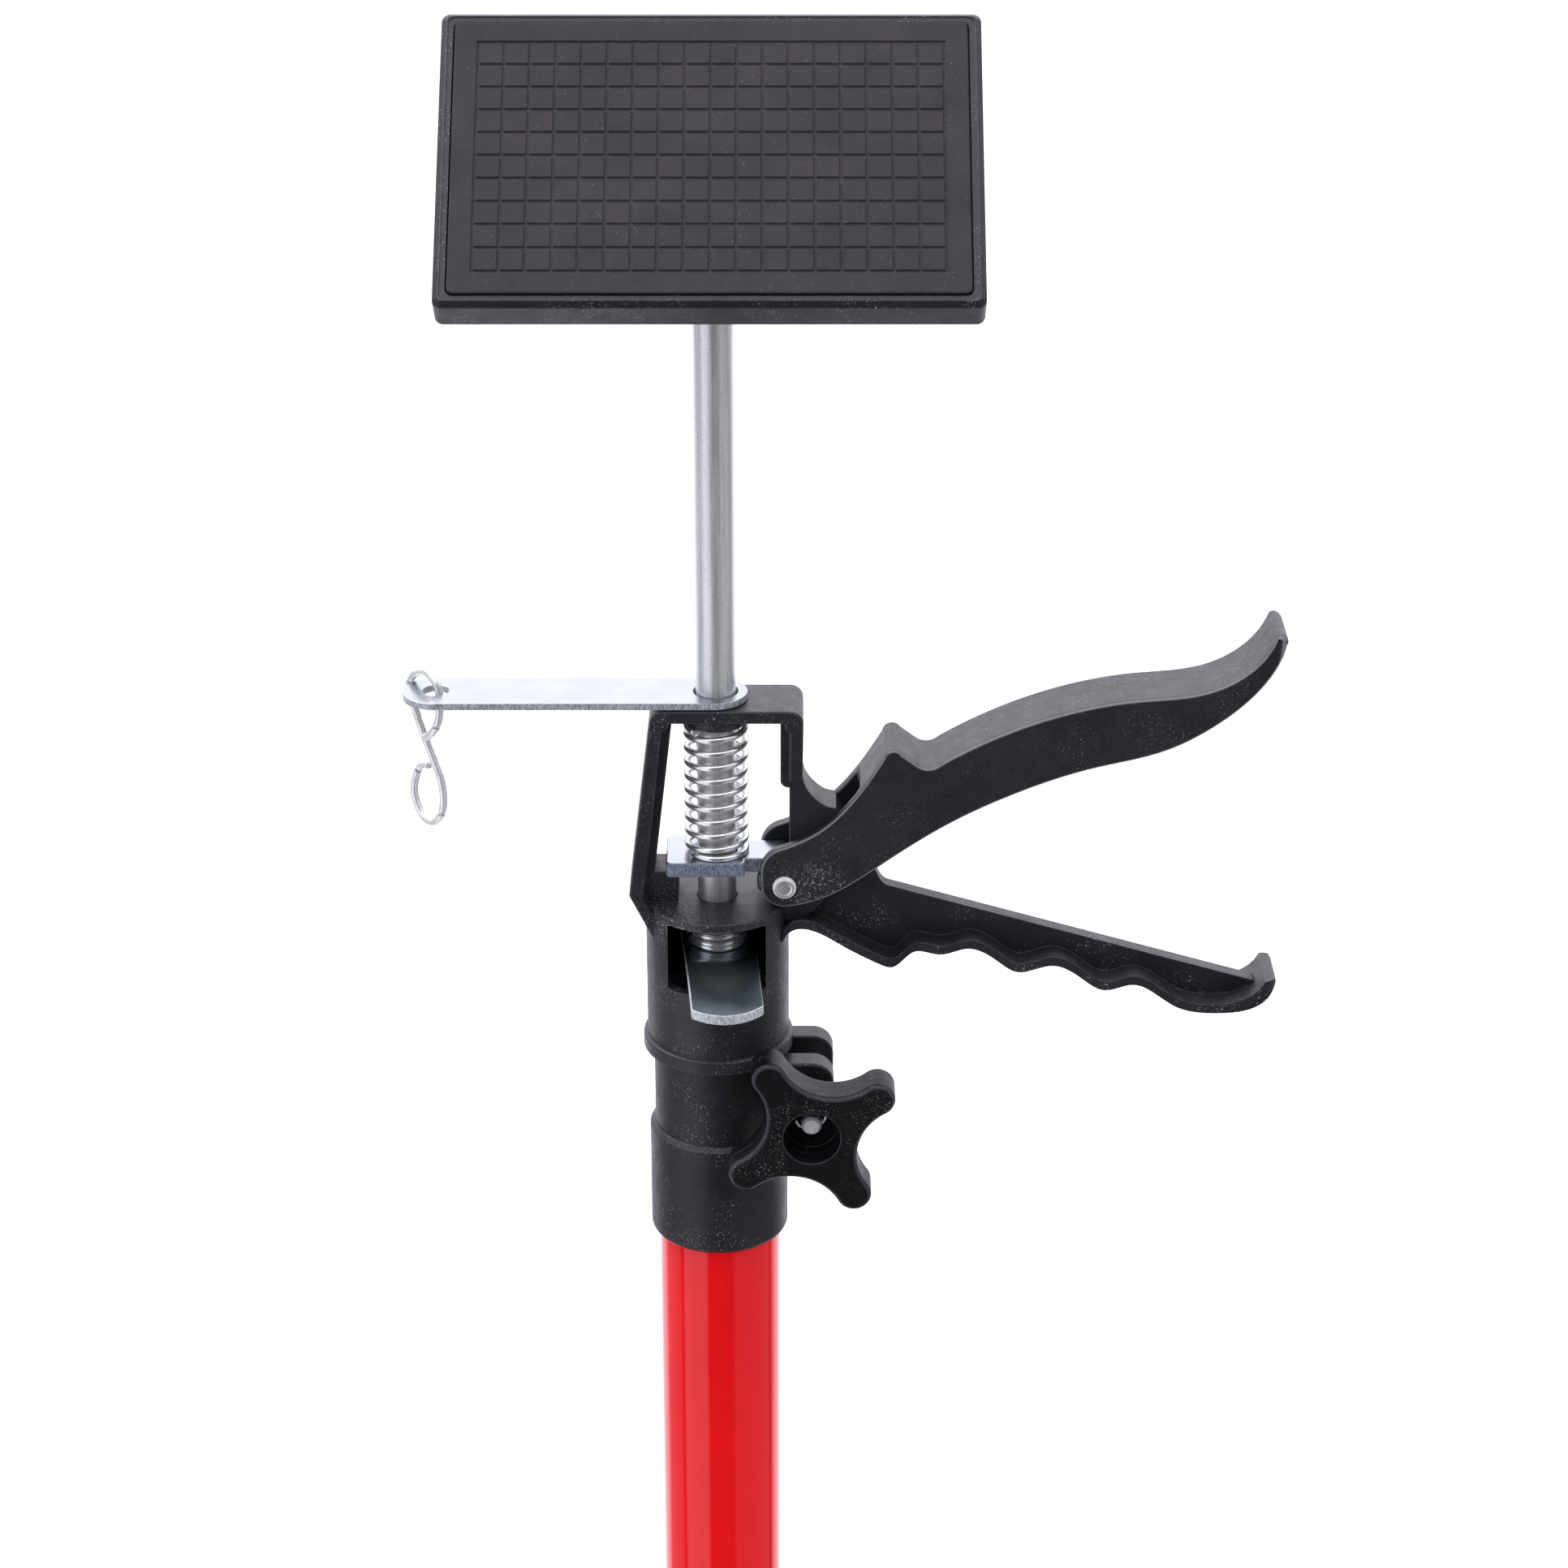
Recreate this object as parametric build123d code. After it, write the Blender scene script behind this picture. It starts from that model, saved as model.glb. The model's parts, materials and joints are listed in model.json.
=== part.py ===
"""Telescopic support prop: foot, two tubes, clamp collar, squeeze-lever head, rod and tilting pad.

Millimetres, +Z up. The origin is the centre of the foot's bottom face, on the axis of the tubes.
The lever and its fixed handle point along +X, the hook arm along -X, and the pad faces -Y and up.
Outlines of the head are drawn in side view, X across and height above the head's round deck.
"""
import os
from math import cos, radians, sin, tan

from build123d import *

# ---------------------------------------------------------------- driving dimensions
# Pad and foot: two equal trays, each with a rubber sheet of small squares let into its face
TRAY_LENGTH = 152.5
TRAY_WIDTH = 93.5
TRAY_DEPTH = 11.0
TRAY_CORNER = 2.6
TRAY_CHAMFER = 1.6
TRAY_WALL = 3.0
LEDGE_WIDTH = 1.6
LEDGE_DROP = 0.35
RUBBER_LENGTH = 144.5
RUBBER_WIDTH = 86.0
RUBBER_THICKNESS = 3.6
RUBBER_PROUD = 0.5
RUBBER_GAP = 0.45
GRID_COLUMNS = 18
GRID_ROWS = 10
GRID_PITCH = 7.27
GROOVE_WIDTH = 1.1
GROOVE_DEPTH = 0.42
TRAY_RIB_THICKNESS = 1.8
TRAY_RIBS_ALONG = (-31.0, -10.0, 10.0, 31.0)
TRAY_RIBS_ACROSS = (-56.0, -30.0, 30.0, 56.0)

# Foot socket and tubes
SOCKET_BASE_RADIUS = 34.0
SOCKET_BASE_HEIGHT = 4.0
SOCKET_RADIUS = 23.0
SOCKET_TOP = 52.0
OUTER_TUBE_RADIUS = 19.0
INNER_TUBE_RADIUS = 16.0
TUBE_WALL = 1.5
INNER_TUBE_BOTTOM = 40.0
BUSH_LENGTH = 24.0
BUSH_LIP = 2.0
SHANK_RADIUS = 2.0
DOME_RADIUS = 3.8
DOME_HEIGHT = 1.6
RIVET_ANGLES = (65, 115)
SOCKET_RIVET_Z = 28.0
COLLAR_RIVET_Z = 281.0
FOOT_SCREW_RADIUS = 2.1
FOOT_SCREW_HEAD = 4.0
FOOT_SCREW_HEAD_HEIGHT = 2.4

# Head, measured from the top face of its round deck
DECK_HEIGHT = 382.9
DECK_THICKNESS = 2.6
BARREL_RADIUS = 22.0
BARREL_WALL = 3.0
BARREL_DEPTH = 50.9
RING_RADIUS = 23.25
RING_HEIGHT = 4.3
WINDOW_WIDTH = 30.0
WINDOW_DEPTH = 24.6
WINDOW_CORNER = 1.0
CAVITY_DEPTH = 28.9
FRAME_HALF_WIDTH = 10.7
RIB_HALF_WIDTH = 6.5
BRIDGE_TOP = 65.6
BRIDGE_THICKNESS = 4.0
BOSS_RADIUS = 9.0
BOSS_HEIGHT = 3.5
SEAT_HEIGHT = 10.3
HANDLE_HALF_WIDTH = 9.75
HANDLE_FLANGE_RISE = 3.1
HANDLE_WEB_HALF = 2.35
HANDLE_TIP_X = 172.4
TIP_CORNER = 3.5
EJECTOR_MARKS = ((-16.2, 61.4), (22.8, 60.6))
EJECTOR_RADIUS = 2.0
EJECTOR_HEIGHT = 0.15
MOULD_ROUND = 0.4
BRAKE_LEDGE_HALF = 9.0
BRAKE_LEDGE_Y = 13.4
HEAD_SCREW_ANGLES = (60, 120)
HEAD_SCREW_DROP = 9.0

# Lever and its rivet
PIVOT_X = 20.6
PIVOT_Z = 7.7
LEVER_HALF_WIDTH = 11.0
LEVER_GAP_HALF = 7.2
RIVET_RADIUS = 2.0
RIVET_HEAD_RADIUS = 3.6
LEVER_TIP_X = 170.0
PIVOT_BLOCK_RADIUS = 13.6
NOSE_RADIUS = 7.1
SPINE_START_X = 43.5
SPINE_END_X = 160.0

# Rod, its drive plate, its brake plate and their springs
ROD_RADIUS = 6.0
ROD_BOTTOM = 179.0
ROD_CLEARANCE = 0.3
DRIVE_PLATE_THICKNESS = 4.6
DRIVE_PLATE_BOTTOM = 10.6
SPRING_RADIUS = 8.9
WIRE_RADIUS = 1.0
DRIVE_SPRING_PITCH = 4.75
BRAKE_SPRING_PITCH = 2.15
BRAKE_THICKNESS = 3.2
BRAKE_WIDTH = 22.0
BRAKE_YAW = 6.6
BRAKE_SEAT_TILT = 9.0
BRAKE_TAB_TILT = 24.0
BRAKE_BACK_Y = 15.0
BRAKE_BEND_Y = -12.5
BRAKE_FRONT_Y = -32.6
BRAKE_BEND_Z = -16.45
BRAKE_END_RADIUS = 22.0
BRAKE_CORNER = 0.8
BRAKE_REAR_CORNER = 4.5
BRAKE_SPRING_HEIGHT = 7.9

# Clamp collar on top of the outer tube, its bolt and its star knob
COLLAR_TOP = 331.7
NECK_RADIUS = 20.0
NECK_HEIGHT = 27.3
SKIRT_RADIUS = 21.65
SKIRT_BOTTOM = 266.0
SPLIT_WIDTH = 3.0
EAR_INNER = 5.0
EAR_OUTER = 13.0
EAR_REACH = 36.0
EAR_TOP = 330.0
EAR_BOTTOM = 305.0
BOLT_X = 29.0
BOLT_Z = 316.5
BOLT_RADIUS = 3.0
BOLT_END = 28.2
BOLT_HEAD_RADIUS = 7.0
BOLT_HEAD_HEIGHT = 3.4
SPLIT_PIN_Y = -26.7
SPLIT_PIN_RADIUS = 0.4
SPLIT_PIN_BEND = 0.8
SPLIT_PIN_ROUTE = ((-4.9, 1.5), (-3.6, -0.7), (3.6, 0.7), (4.5, 3.2))
KNOB_FACE = 35.6
KNOB_BACK = 23.2
KNOB_HUB_BACK = 14.7
KNOB_HUB_RADIUS = 9.5
KNOB_RECESS_RADIUS = 8.8
KNOB_RECESS_DEPTH = 10.4
KNOB_LOBE_RADIUS = 5.4
KNOB_LOBE_CENTRE = 24.0
KNOB_WAIST_RADIUS = 14.6
KNOB_LOBES = 4
KNOB_TURN = 33.0
NUT_RADIUS = 5.77
NUT_LENGTH = 8.5

# Hook arm and wire hook
ARM_BOTTOM = 65.9
ARM_THICKNESS = 2.2
ARM_HALF_WIDTH = 10.0
ARM_REACH = 84.0
ARM_HOLE_RADIUS = 4.0
ARM_ROD_CLEARANCE = 0.8
HOOK_YAW = 45.0
HOOK_WIRE_RADIUS = 1.25

# Pad tilt joint on top of the rod
PAD_PIVOT_Z = 604.0
PAD_TILT = 44.0
PAD_FACE_DISTANCE = 22.0
SWIVEL_HALF_WIDTH = 10.2
SWIVEL_COLLAR_RADIUS = 12.0
PAD_PIN_RADIUS = 3.0
PAD_EAR_THICKNESS = 4.0
GRUB_DROP = 19.0
RUNNING_CLEARANCE = 0.05

HEAD = Pos(0, 0, DECK_HEIGHT)
PAD_PIVOT = Pos(0, 0, PAD_PIVOT_Z)
PARTS = {}


# ---------------------------------------------------------------- helpers
def side_slab(outline, half_width, centre_y=0.0):
    """A plate with this side-view outline, equally thick to both sides of Y = centre_y."""
    face = Plane.XZ * make_face(outline)
    return Pos(0, centre_y, 0) * extrude(face, half_width, both=True)


def polygon(points, radii=0.0):
    """A closed outline through the points, each corner rounded by its own radius."""
    return FilletPolyline(*points, radius=radii, close=True)


def closed(*curves):
    """One closed wire from curves that follow each other end to end."""
    return Wire([edge for curve in curves for edge in curve.edges()])


def disc(radius, bottom, top, x=0.0, y=0.0):
    """An upright cylinder between two heights."""
    return Pos(x, y, bottom) * extrude(Circle(radius), top - bottom)


def ring(outer, inner, bottom, top):
    """An upright tube between two heights."""
    return disc(outer, bottom, top) - disc(inner, bottom, top)


def along_y(radius, start, end, x=0.0, z=0.0):
    """A cylinder along Y from start to end."""
    return Pos(x, start, z) * Rot(-90, 0, 0) * extrude(Circle(radius), end - start)


def along_x(radius, start, end, y=0.0, z=0.0):
    """A cylinder along X from start to end."""
    return Pos(start, y, z) * Rot(0, 90, 0) * extrude(Circle(radius), end - start)


def box(low, high):
    """A box from its lowest to its highest corner."""
    size = [b - a for a, b in zip(low, high)]
    middle = [(a + b) / 2 for a, b in zip(low, high)]
    return Pos(*middle) * Box(*size)


def side_edges(slab):
    """The edges of a slab's two faces towards -Y and +Y."""
    faces = slab.faces().sort_by(Axis.Y)
    return faces[0].edges() + faces[-1].edges()


def rounded_tip(bar, tip_x, half_width):
    """The bar along +X with the corners of its end at tip_x rounded in plan."""
    plan = Pos(tip_x - 100, 0) * RectangleRounded(200, 2 * half_width, TIP_CORNER)
    return bar & Pos(0, 0, -100) * extrude(plan, 250)


def radial_fastener(shank_radius, start, end, head_radius, head_height):
    """A screw or rivet along +X: a shank from start to end, and a domed head outside end."""
    head = along_x(head_radius, end, end + head_height)
    head = chamfer(head.faces().sort_by(Axis.X)[-1].edges(), head_height * 0.45)
    return along_x(shank_radius, start, end) + head


def tube_rivets(start, end, height):
    """Two domed rivets at this height, through the tube from inside it to the radius end."""
    rivet = radial_fastener(SHANK_RADIUS, start, end, DOME_RADIUS, DOME_HEIGHT)
    return [Rot(0, 0, angle) * Pos(0, 0, height) * rivet for angle in RIVET_ANGLES]


def coil(pitch, height, radius, wire_radius, bottom):
    """A round wire wound into an upright helix, whose centre line starts at bottom."""
    path = Helix(pitch=pitch, height=height, radius=radius, center=(0, 0, bottom))
    section = Plane(origin=path @ 0, z_dir=path % 0) * Circle(wire_radius)
    return sweep(section, path=path, is_frenet=True)


# ---------------------------------------------------------------- pad and foot trays
def tray():
    """A shallow moulded tray. Its rim face is at Z = 0 and it faces +Z."""
    outside = RectangleRounded(TRAY_LENGTH, TRAY_WIDTH, TRAY_CORNER)
    body = Pos(0, 0, -TRAY_DEPTH) * extrude(outside, TRAY_DEPTH)
    body = chamfer(body.faces().sort_by(Axis.Z)[-1].edges(), TRAY_CHAMFER)
    opening = (RUBBER_LENGTH + 2 * RUBBER_GAP, RUBBER_WIDTH + 2 * RUBBER_GAP)
    recess_depth = RUBBER_THICKNESS - RUBBER_PROUD
    body -= Pos(0, 0, -recess_depth) * extrude(RectangleRounded(*opening, 2), recess_depth)
    ledge = (opening[0] + 2 * LEDGE_WIDTH, opening[1] + 2 * LEDGE_WIDTH)
    body -= Pos(0, 0, -LEDGE_DROP) * extrude(RectangleRounded(*ledge, 2.2), LEDGE_DROP)
    pocket_height = TRAY_DEPTH - recess_depth - TRAY_WALL
    pocket = RectangleRounded(TRAY_LENGTH - 2 * TRAY_WALL, TRAY_WIDTH - 2 * TRAY_WALL, 1.5)
    body -= Pos(0, 0, -TRAY_DEPTH) * extrude(pocket, pocket_height)
    half_rib = TRAY_RIB_THICKNESS / 2
    reach_x = TRAY_LENGTH / 2 - 2
    reach_y = TRAY_WIDTH / 2 - 2
    rib_bottom = -TRAY_DEPTH + 0.4
    rib_top = -TRAY_DEPTH + pocket_height
    for y in TRAY_RIBS_ALONG:
        body += box((-reach_x, y - half_rib, rib_bottom), (reach_x, y + half_rib, rib_top))
    for x in TRAY_RIBS_ACROSS:
        body += box((x - half_rib, -reach_y, rib_bottom), (x + half_rib, reach_y, rib_top))
    return body


def rubber_sheet():
    """The sheet in a tray's face: a field of square blocks between thin grooves."""
    top = RUBBER_PROUD
    sheet = Pos(0, 0, top - RUBBER_THICKNESS) * extrude(
        RectangleRounded(RUBBER_LENGTH, RUBBER_WIDTH, 1.6), RUBBER_THICKNESS)
    sheet = chamfer(sheet.faces().sort_by(Axis.Z)[-1].edges(), 0.5)
    half_length = GRID_COLUMNS * GRID_PITCH / 2
    half_width = GRID_ROWS * GRID_PITCH / 2
    half_groove = GROOVE_WIDTH / 2
    floor = top - GROOVE_DEPTH
    grooves = []
    for column in range(GRID_COLUMNS + 1):
        x = -half_length + column * GRID_PITCH
        grooves.append(box((x - half_groove, -half_width, floor), (x + half_groove, half_width, top)))
    for row in range(GRID_ROWS + 1):
        y = -half_width + row * GRID_PITCH
        grooves.append(box((-half_length, y - half_groove, floor), (half_length, y + half_groove, top)))
    return sheet - grooves


def make_foot():
    """Foot tray face down, its rubber sole, the tube socket and the screws that join them."""
    face_down = Pos(0, 0, RUBBER_PROUD) * Rot(180, 0, 0)
    plate = face_down * tray()
    PARTS["foot_rubber"] = face_down * rubber_sheet()
    floor = RUBBER_PROUD + TRAY_DEPTH
    plate += disc(SOCKET_BASE_RADIUS, RUBBER_THICKNESS, floor)
    base_top = floor + SOCKET_BASE_HEIGHT
    socket = disc(SOCKET_BASE_RADIUS, floor, base_top)
    socket = fillet(socket.faces().sort_by(Axis.Z)[-1].edges(), 1.2)
    cup = disc(SOCKET_RADIUS, floor, SOCKET_TOP)
    cup = fillet(cup.faces().sort_by(Axis.Z)[-1].edges(), 1.5)
    socket += cup
    gusset = polygon([(SOCKET_RADIUS - 2, floor + 1), (SOCKET_BASE_RADIUS - 2, floor + 1),
                      (SOCKET_BASE_RADIUS - 2, base_top + 2), (SOCKET_RADIUS - 2, SOCKET_TOP - 6)])
    for angle in range(0, 360, 90):
        socket += Rot(0, 0, angle) * side_slab(gusset, 1.6)
    tube_seat = base_top + 1
    socket -= disc(OUTER_TUBE_RADIUS, tube_seat, SOCKET_TOP)
    screw_circle = SOCKET_BASE_RADIUS - 5.5
    screws = []
    for angle in range(45, 360, 90):
        shank = disc(FOOT_SCREW_RADIUS, RUBBER_THICKNESS + 1.4, base_top)
        head = disc(FOOT_SCREW_HEAD, base_top, base_top + FOOT_SCREW_HEAD_HEIGHT)
        head = fillet(head.faces().sort_by(Axis.Z)[-1].edges(), 1.4)
        screws.append(Rot(0, 0, angle) * Pos(screw_circle, 0, 0) * (shank + head))
    PARTS["foot_screws"] = Compound(children=screws)
    PARTS["foot_plate"] = plate - screws
    rivets = tube_rivets(16.0, SOCKET_RADIUS, SOCKET_RIVET_Z)
    PARTS["socket_rivets"] = Compound(children=rivets)
    PARTS["foot_socket"] = socket - screws - rivets
    return tube_seat, rivets


# ---------------------------------------------------------------- tubes and clamp collar
def make_tubes(tube_seat, socket_rivets):
    """Outer tube, inner tube and its sliding bush, with the clamp collar on the outer tube."""
    tube_top = COLLAR_TOP - NECK_HEIGHT - 3.0
    tube = ring(OUTER_TUBE_RADIUS, OUTER_TUBE_RADIUS - TUBE_WALL, tube_seat, tube_top)
    collar_rivets = tube_rivets(17.7, SKIRT_RADIUS, COLLAR_RIVET_Z)
    PARTS["collar_rivets"] = Compound(children=collar_rivets)
    PARTS["outer_tube"] = tube - socket_rivets - collar_rivets
    make_collar(tube_top, collar_rivets)
    inner_top = DECK_HEIGHT - CAVITY_DEPTH - 2.0
    bore = INNER_TUBE_RADIUS - TUBE_WALL
    inner = ring(INNER_TUBE_RADIUS, bore, INNER_TUBE_BOTTOM, inner_top)
    bush_radius = OUTER_TUBE_RADIUS - TUBE_WALL - RUNNING_CLEARANCE
    bush = ring(bush_radius, INNER_TUBE_RADIUS, INNER_TUBE_BOTTOM, INNER_TUBE_BOTTOM + BUSH_LENGTH)
    bush += ring(bush_radius, bore, INNER_TUBE_BOTTOM - BUSH_LIP, INNER_TUBE_BOTTOM)
    PARTS["guide_bush"] = bush
    return inner, inner_top


def make_collar(tube_top, rivets):
    """Split clamp collar: a neck that grips the inner tube and a skirt round the outer tube."""
    neck_bottom = COLLAR_TOP - NECK_HEIGHT
    skirt = disc(SKIRT_RADIUS, SKIRT_BOTTOM, neck_bottom)
    skirt = fillet(skirt.faces().sort_by(Axis.Z)[0].edges(), 2.2)
    skirt = chamfer(skirt.faces().sort_by(Axis.Z)[-1].edges(), 1.3)
    body = skirt + disc(NECK_RADIUS, neck_bottom - 2, COLLAR_TOP)
    ear_root = 14.0
    ear_outline = polygon([(ear_root, EAR_BOTTOM), (EAR_REACH, EAR_BOTTOM), (EAR_REACH, EAR_TOP),
                           (ear_root, EAR_TOP)], [0, 6.5, 6.5, 0])
    ear_half = (EAR_OUTER - EAR_INNER) / 2
    for side in (-1, 1):
        ear = side_slab(ear_outline, ear_half, side * (EAR_OUTER - ear_half))
        body += fillet(side_edges(ear), 0.9)
    body -= disc(INNER_TUBE_RADIUS + RUNNING_CLEARANCE, tube_top, COLLAR_TOP)
    body -= disc(OUTER_TUBE_RADIUS, SKIRT_BOTTOM, tube_top)
    body -= box((10, -SPLIT_WIDTH / 2, neck_bottom + 1), (EAR_REACH, SPLIT_WIDTH / 2, COLLAR_TOP))
    body -= along_y(BOLT_RADIUS + 0.2, -EAR_OUTER - 1, EAR_OUTER + 1, BOLT_X, BOLT_Z)
    PARTS["clamp_collar"] = body - rivets


def star_outline():
    """Four round lobes joined by hollow arcs that touch both neighbours and the waist circle."""
    step = radians(360 / KNOB_LOBES)
    half = step / 2
    lobe_gap = KNOB_LOBE_CENTRE ** 2 + KNOB_WAIST_RADIUS ** 2 - KNOB_LOBE_RADIUS ** 2
    lobe_gap -= 2 * KNOB_LOBE_CENTRE * KNOB_WAIST_RADIUS * cos(half)
    hollow = lobe_gap / (2 * (KNOB_LOBE_RADIUS + KNOB_LOBE_CENTRE * cos(half) - KNOB_WAIST_RADIUS))
    hollow_centre = KNOB_WAIST_RADIUS + hollow
    share = KNOB_LOBE_RADIUS / (KNOB_LOBE_RADIUS + hollow)
    edges = []

    def at(radius, angle):
        return Vector(radius * cos(angle), radius * sin(angle))

    for lobe in range(KNOB_LOBES):
        angle = radians(KNOB_TURN) + lobe * step
        centre = at(KNOB_LOBE_CENTRE, angle)
        touch = [centre + (at(hollow_centre, angle + side * half) - centre) * share for side in (-1, 1)]
        next_centre = at(KNOB_LOBE_CENTRE, angle + step)
        next_touch = next_centre + (at(hollow_centre, angle + half) - next_centre) * share
        edges.append(ThreePointArc(touch[0], at(KNOB_LOBE_CENTRE + KNOB_LOBE_RADIUS, angle), touch[1]))
        edges.append(ThreePointArc(touch[1], at(KNOB_WAIST_RADIUS, angle + half), next_touch))
    return closed(*edges)


def make_knob():
    """Star knob with its nut insert, on the fixed bolt with washer and split pin."""
    knob_plane = Pos(BOLT_X, -KNOB_BACK, BOLT_Z) * Rot(90, 0, 0)
    rim_depth = KNOB_FACE - KNOB_BACK
    rim = knob_plane * extrude(make_face(star_outline()), rim_depth)
    rim = fillet(side_edges(rim), 1.7)
    hub = along_y(KNOB_HUB_RADIUS, -KNOB_BACK - 1, -KNOB_HUB_BACK, BOLT_X, BOLT_Z)
    recess_floor = -KNOB_FACE + KNOB_RECESS_DEPTH
    knob = rim + hub - along_y(KNOB_RECESS_RADIUS, -KNOB_FACE, recess_floor, BOLT_X, BOLT_Z)
    nut_outline = Pos(BOLT_X, -KNOB_HUB_BACK - 0.3, BOLT_Z) * Rot(90, 0, 0) * RegularPolygon(NUT_RADIUS, 6)
    nut_bore = along_y(BOLT_RADIUS + RUNNING_CLEARANCE, -KNOB_FACE, 0, BOLT_X, BOLT_Z)
    nut = extrude(nut_outline, NUT_LENGTH)
    PARTS["knob_nut"] = nut - nut_bore
    PARTS["star_knob"] = knob - nut - along_y(BOLT_RADIUS + 0.35, -KNOB_FACE, 0, BOLT_X, BOLT_Z)
    bolt = along_y(BOLT_RADIUS, -BOLT_END, EAR_OUTER, BOLT_X, BOLT_Z)
    bolt = chamfer(bolt.faces().sort_by(Axis.Y)[0].edges(), 0.7)
    head = along_y(BOLT_HEAD_RADIUS, EAR_OUTER, EAR_OUTER + BOLT_HEAD_HEIGHT, BOLT_X, BOLT_Z)
    bolt += fillet(head.faces().sort_by(Axis.Y)[-1].edges(), 2.6)
    pin_path = Plane.XZ * FilletPolyline(*SPLIT_PIN_ROUTE, radius=SPLIT_PIN_BEND)
    pin_section = Plane(origin=pin_path @ 0, z_dir=pin_path % 0) * Circle(SPLIT_PIN_RADIUS)
    pin = Pos(BOLT_X, SPLIT_PIN_Y, BOLT_Z) * sweep(pin_section, path=pin_path)
    PARTS["split_pin"] = pin
    PARTS["clamp_bolt"] = bolt - pin
    washer = along_y(BOLT_HEAD_RADIUS, -EAR_OUTER - 1.4, -EAR_OUTER, BOLT_X, BOLT_Z)
    PARTS["clamp_washer"] = washer - along_y(BOLT_RADIUS + 0.2, -20, 0, BOLT_X, BOLT_Z)


# ---------------------------------------------------------------- head
def handle_underside():
    """Wavy lower edge of the fixed handle, with four finger hollows, from the barrel to the tip."""
    return [(20.0, -12.0), (25.2, -7.4), (30.0, -8.3), (37.2, -12.4), (49.8, -19.5), (53.4, -20.6),
            (60.5, -15.2), (68.2, -16.2), (76.5, -14.2), (85.5, -18.0), (92.6, -22.3), (102.5, -20.1),
            (111.5, -24.0), (119.7, -28.6), (127.7, -26.7), (136.3, -30.8), (142.0, -34.6), (154.7, -36.6),
            (166.2, -34.4), (172.0, -27.6)]


def frame_band():
    """The open frame round the drive spring: bridge, left strut with its kink, right strut."""
    outer = [(-26.7, 4.2), (-19.3, BRIDGE_TOP), (26.4, BRIDGE_TOP), (26.1, 42.8), (22.1, 42.8),
             (22.1, BRIDGE_TOP - BRIDGE_THICKNESS), (-15.9, BRIDGE_TOP - BRIDGE_THICKNESS),
             (-22.4, 3.3), (-17.5, -7.5), (-19.0, -11.6)]
    band = side_slab(polygon(outer, [2.0, 4.0, 4.0, 1.5, 0, 2.5, 2.0, 1.0, 0, 0]), FRAME_HALF_WIDTH)
    band = fillet(side_edges(band), 0.7)
    for x, z in EJECTOR_MARKS:
        band += along_y(EJECTOR_RADIUS, -FRAME_HALF_WIDTH - EJECTOR_HEIGHT, 0, x, z)
    return band


def head_ribs():
    """Narrow ribs inside both struts, the seat for the drive plate and the boss under the bridge."""
    left = side_slab(polygon([(-17.0, 63.0), (-12.9, 62.5), (-19.4, 6.0), (-23.5, 6.0)]), RIB_HALF_WIDTH)
    right = side_slab(polygon([(19.4, 38.8), (23.0, 38.8), (23.0, 63.0), (19.4, 63.0)], [2.4, 0, 0, 0]),
                      RIB_HALF_WIDTH)
    left, right = [fillet(side_edges(rib), MOULD_ROUND) for rib in (left, right)]
    seat = box((-23.0, -6.0, -1.0), (-11.7, 7.0, SEAT_HEIGHT))
    seat = fillet(seat.faces().sort_by(Axis.Z)[-1].edges(), MOULD_ROUND)
    boss = disc(BOSS_RADIUS, BRIDGE_TOP - BRIDGE_THICKNESS - BOSS_HEIGHT, BRIDGE_TOP - 1)
    return left + right + seat + boss


def lever_block():
    """Thick block between the lever's cheeks, bored for the rivet, notched for the drive plate."""
    start, middle, end = [(PIVOT_X + PIVOT_BLOCK_RADIUS * cos(radians(angle)),
                           PIVOT_Z + PIVOT_BLOCK_RADIUS * sin(radians(angle))) for angle in (0, -48, -95)]
    tongue_top = DRIVE_PLATE_BOTTOM + DRIVE_PLATE_THICKNESS + 4.0
    notch_x = 22.3
    outline = closed(
        Spline((26.1, 44.0), (27.9, 37.6), (31.6, 33.7), (36.3, 32.1), tangents=[(0, -1), (1, -0.1)]),
        Polyline((36.3, 32.1), (39.6, 24.0), start),
        ThreePointArc(start, middle, end),
        Polyline(end, (18.5, -1.0), (16.3, -1.0), (16.3, SEAT_HEIGHT), (notch_x, SEAT_HEIGHT),
                 (notch_x, tongue_top), (22.1, tongue_top), (22.1, 44.0), (26.1, 44.0)),
    )
    block = side_slab(outline, RIB_HALF_WIDTH)
    block = fillet(side_edges(block), MOULD_ROUND)
    return block - along_y(RIVET_RADIUS, -20, 20, PIVOT_X, PIVOT_Z)


def fixed_handle():
    """T-section handle: a thin upright web on a wide flange with finger hollows and a turned-up tip."""
    underside = handle_underside()
    topside = [(x + 0.2, z + HANDLE_FLANGE_RISE) for x, z in underside]
    tip = (171.3, -25.2)
    outline = closed(
        Spline(*underside),
        ThreePointArc(underside[-1], (172.3, -26.2), tip),
        Line(tip, (168.8, -25.6)),
        Spline((168.8, -25.6), (164.6, -30.6), *reversed(topside[:-2])),
        Line(topside[0], underside[0]),
    )
    flange = rounded_tip(side_slab(outline, HANDLE_HALF_WIDTH), HANDLE_TIP_X, HANDLE_HALF_WIDTH)
    web_top = (52.6, 3.9)
    web = closed(
        Spline((46.5, 14.0), (49.3, 7.4), web_top, tangents=[(0.3, -1), (1, -0.28)]),
        Line(web_top, (166.0, -28.9)),
        Line((166.0, -28.9), (163.0, -33.5)),
        Spline((163.0, -33.5), *[(x, z + 1.2) for x, z in reversed(underside[1:-2])]),
        Polyline((underside[1][0], underside[1][1] + 1.2), (21.0, -7.0), (21.0, -2.0), (28.0, 5.0),
                 (38.0, 12.0), (46.5, 14.0)),
    )
    return flange + side_slab(web, HANDLE_WEB_HALF)


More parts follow.
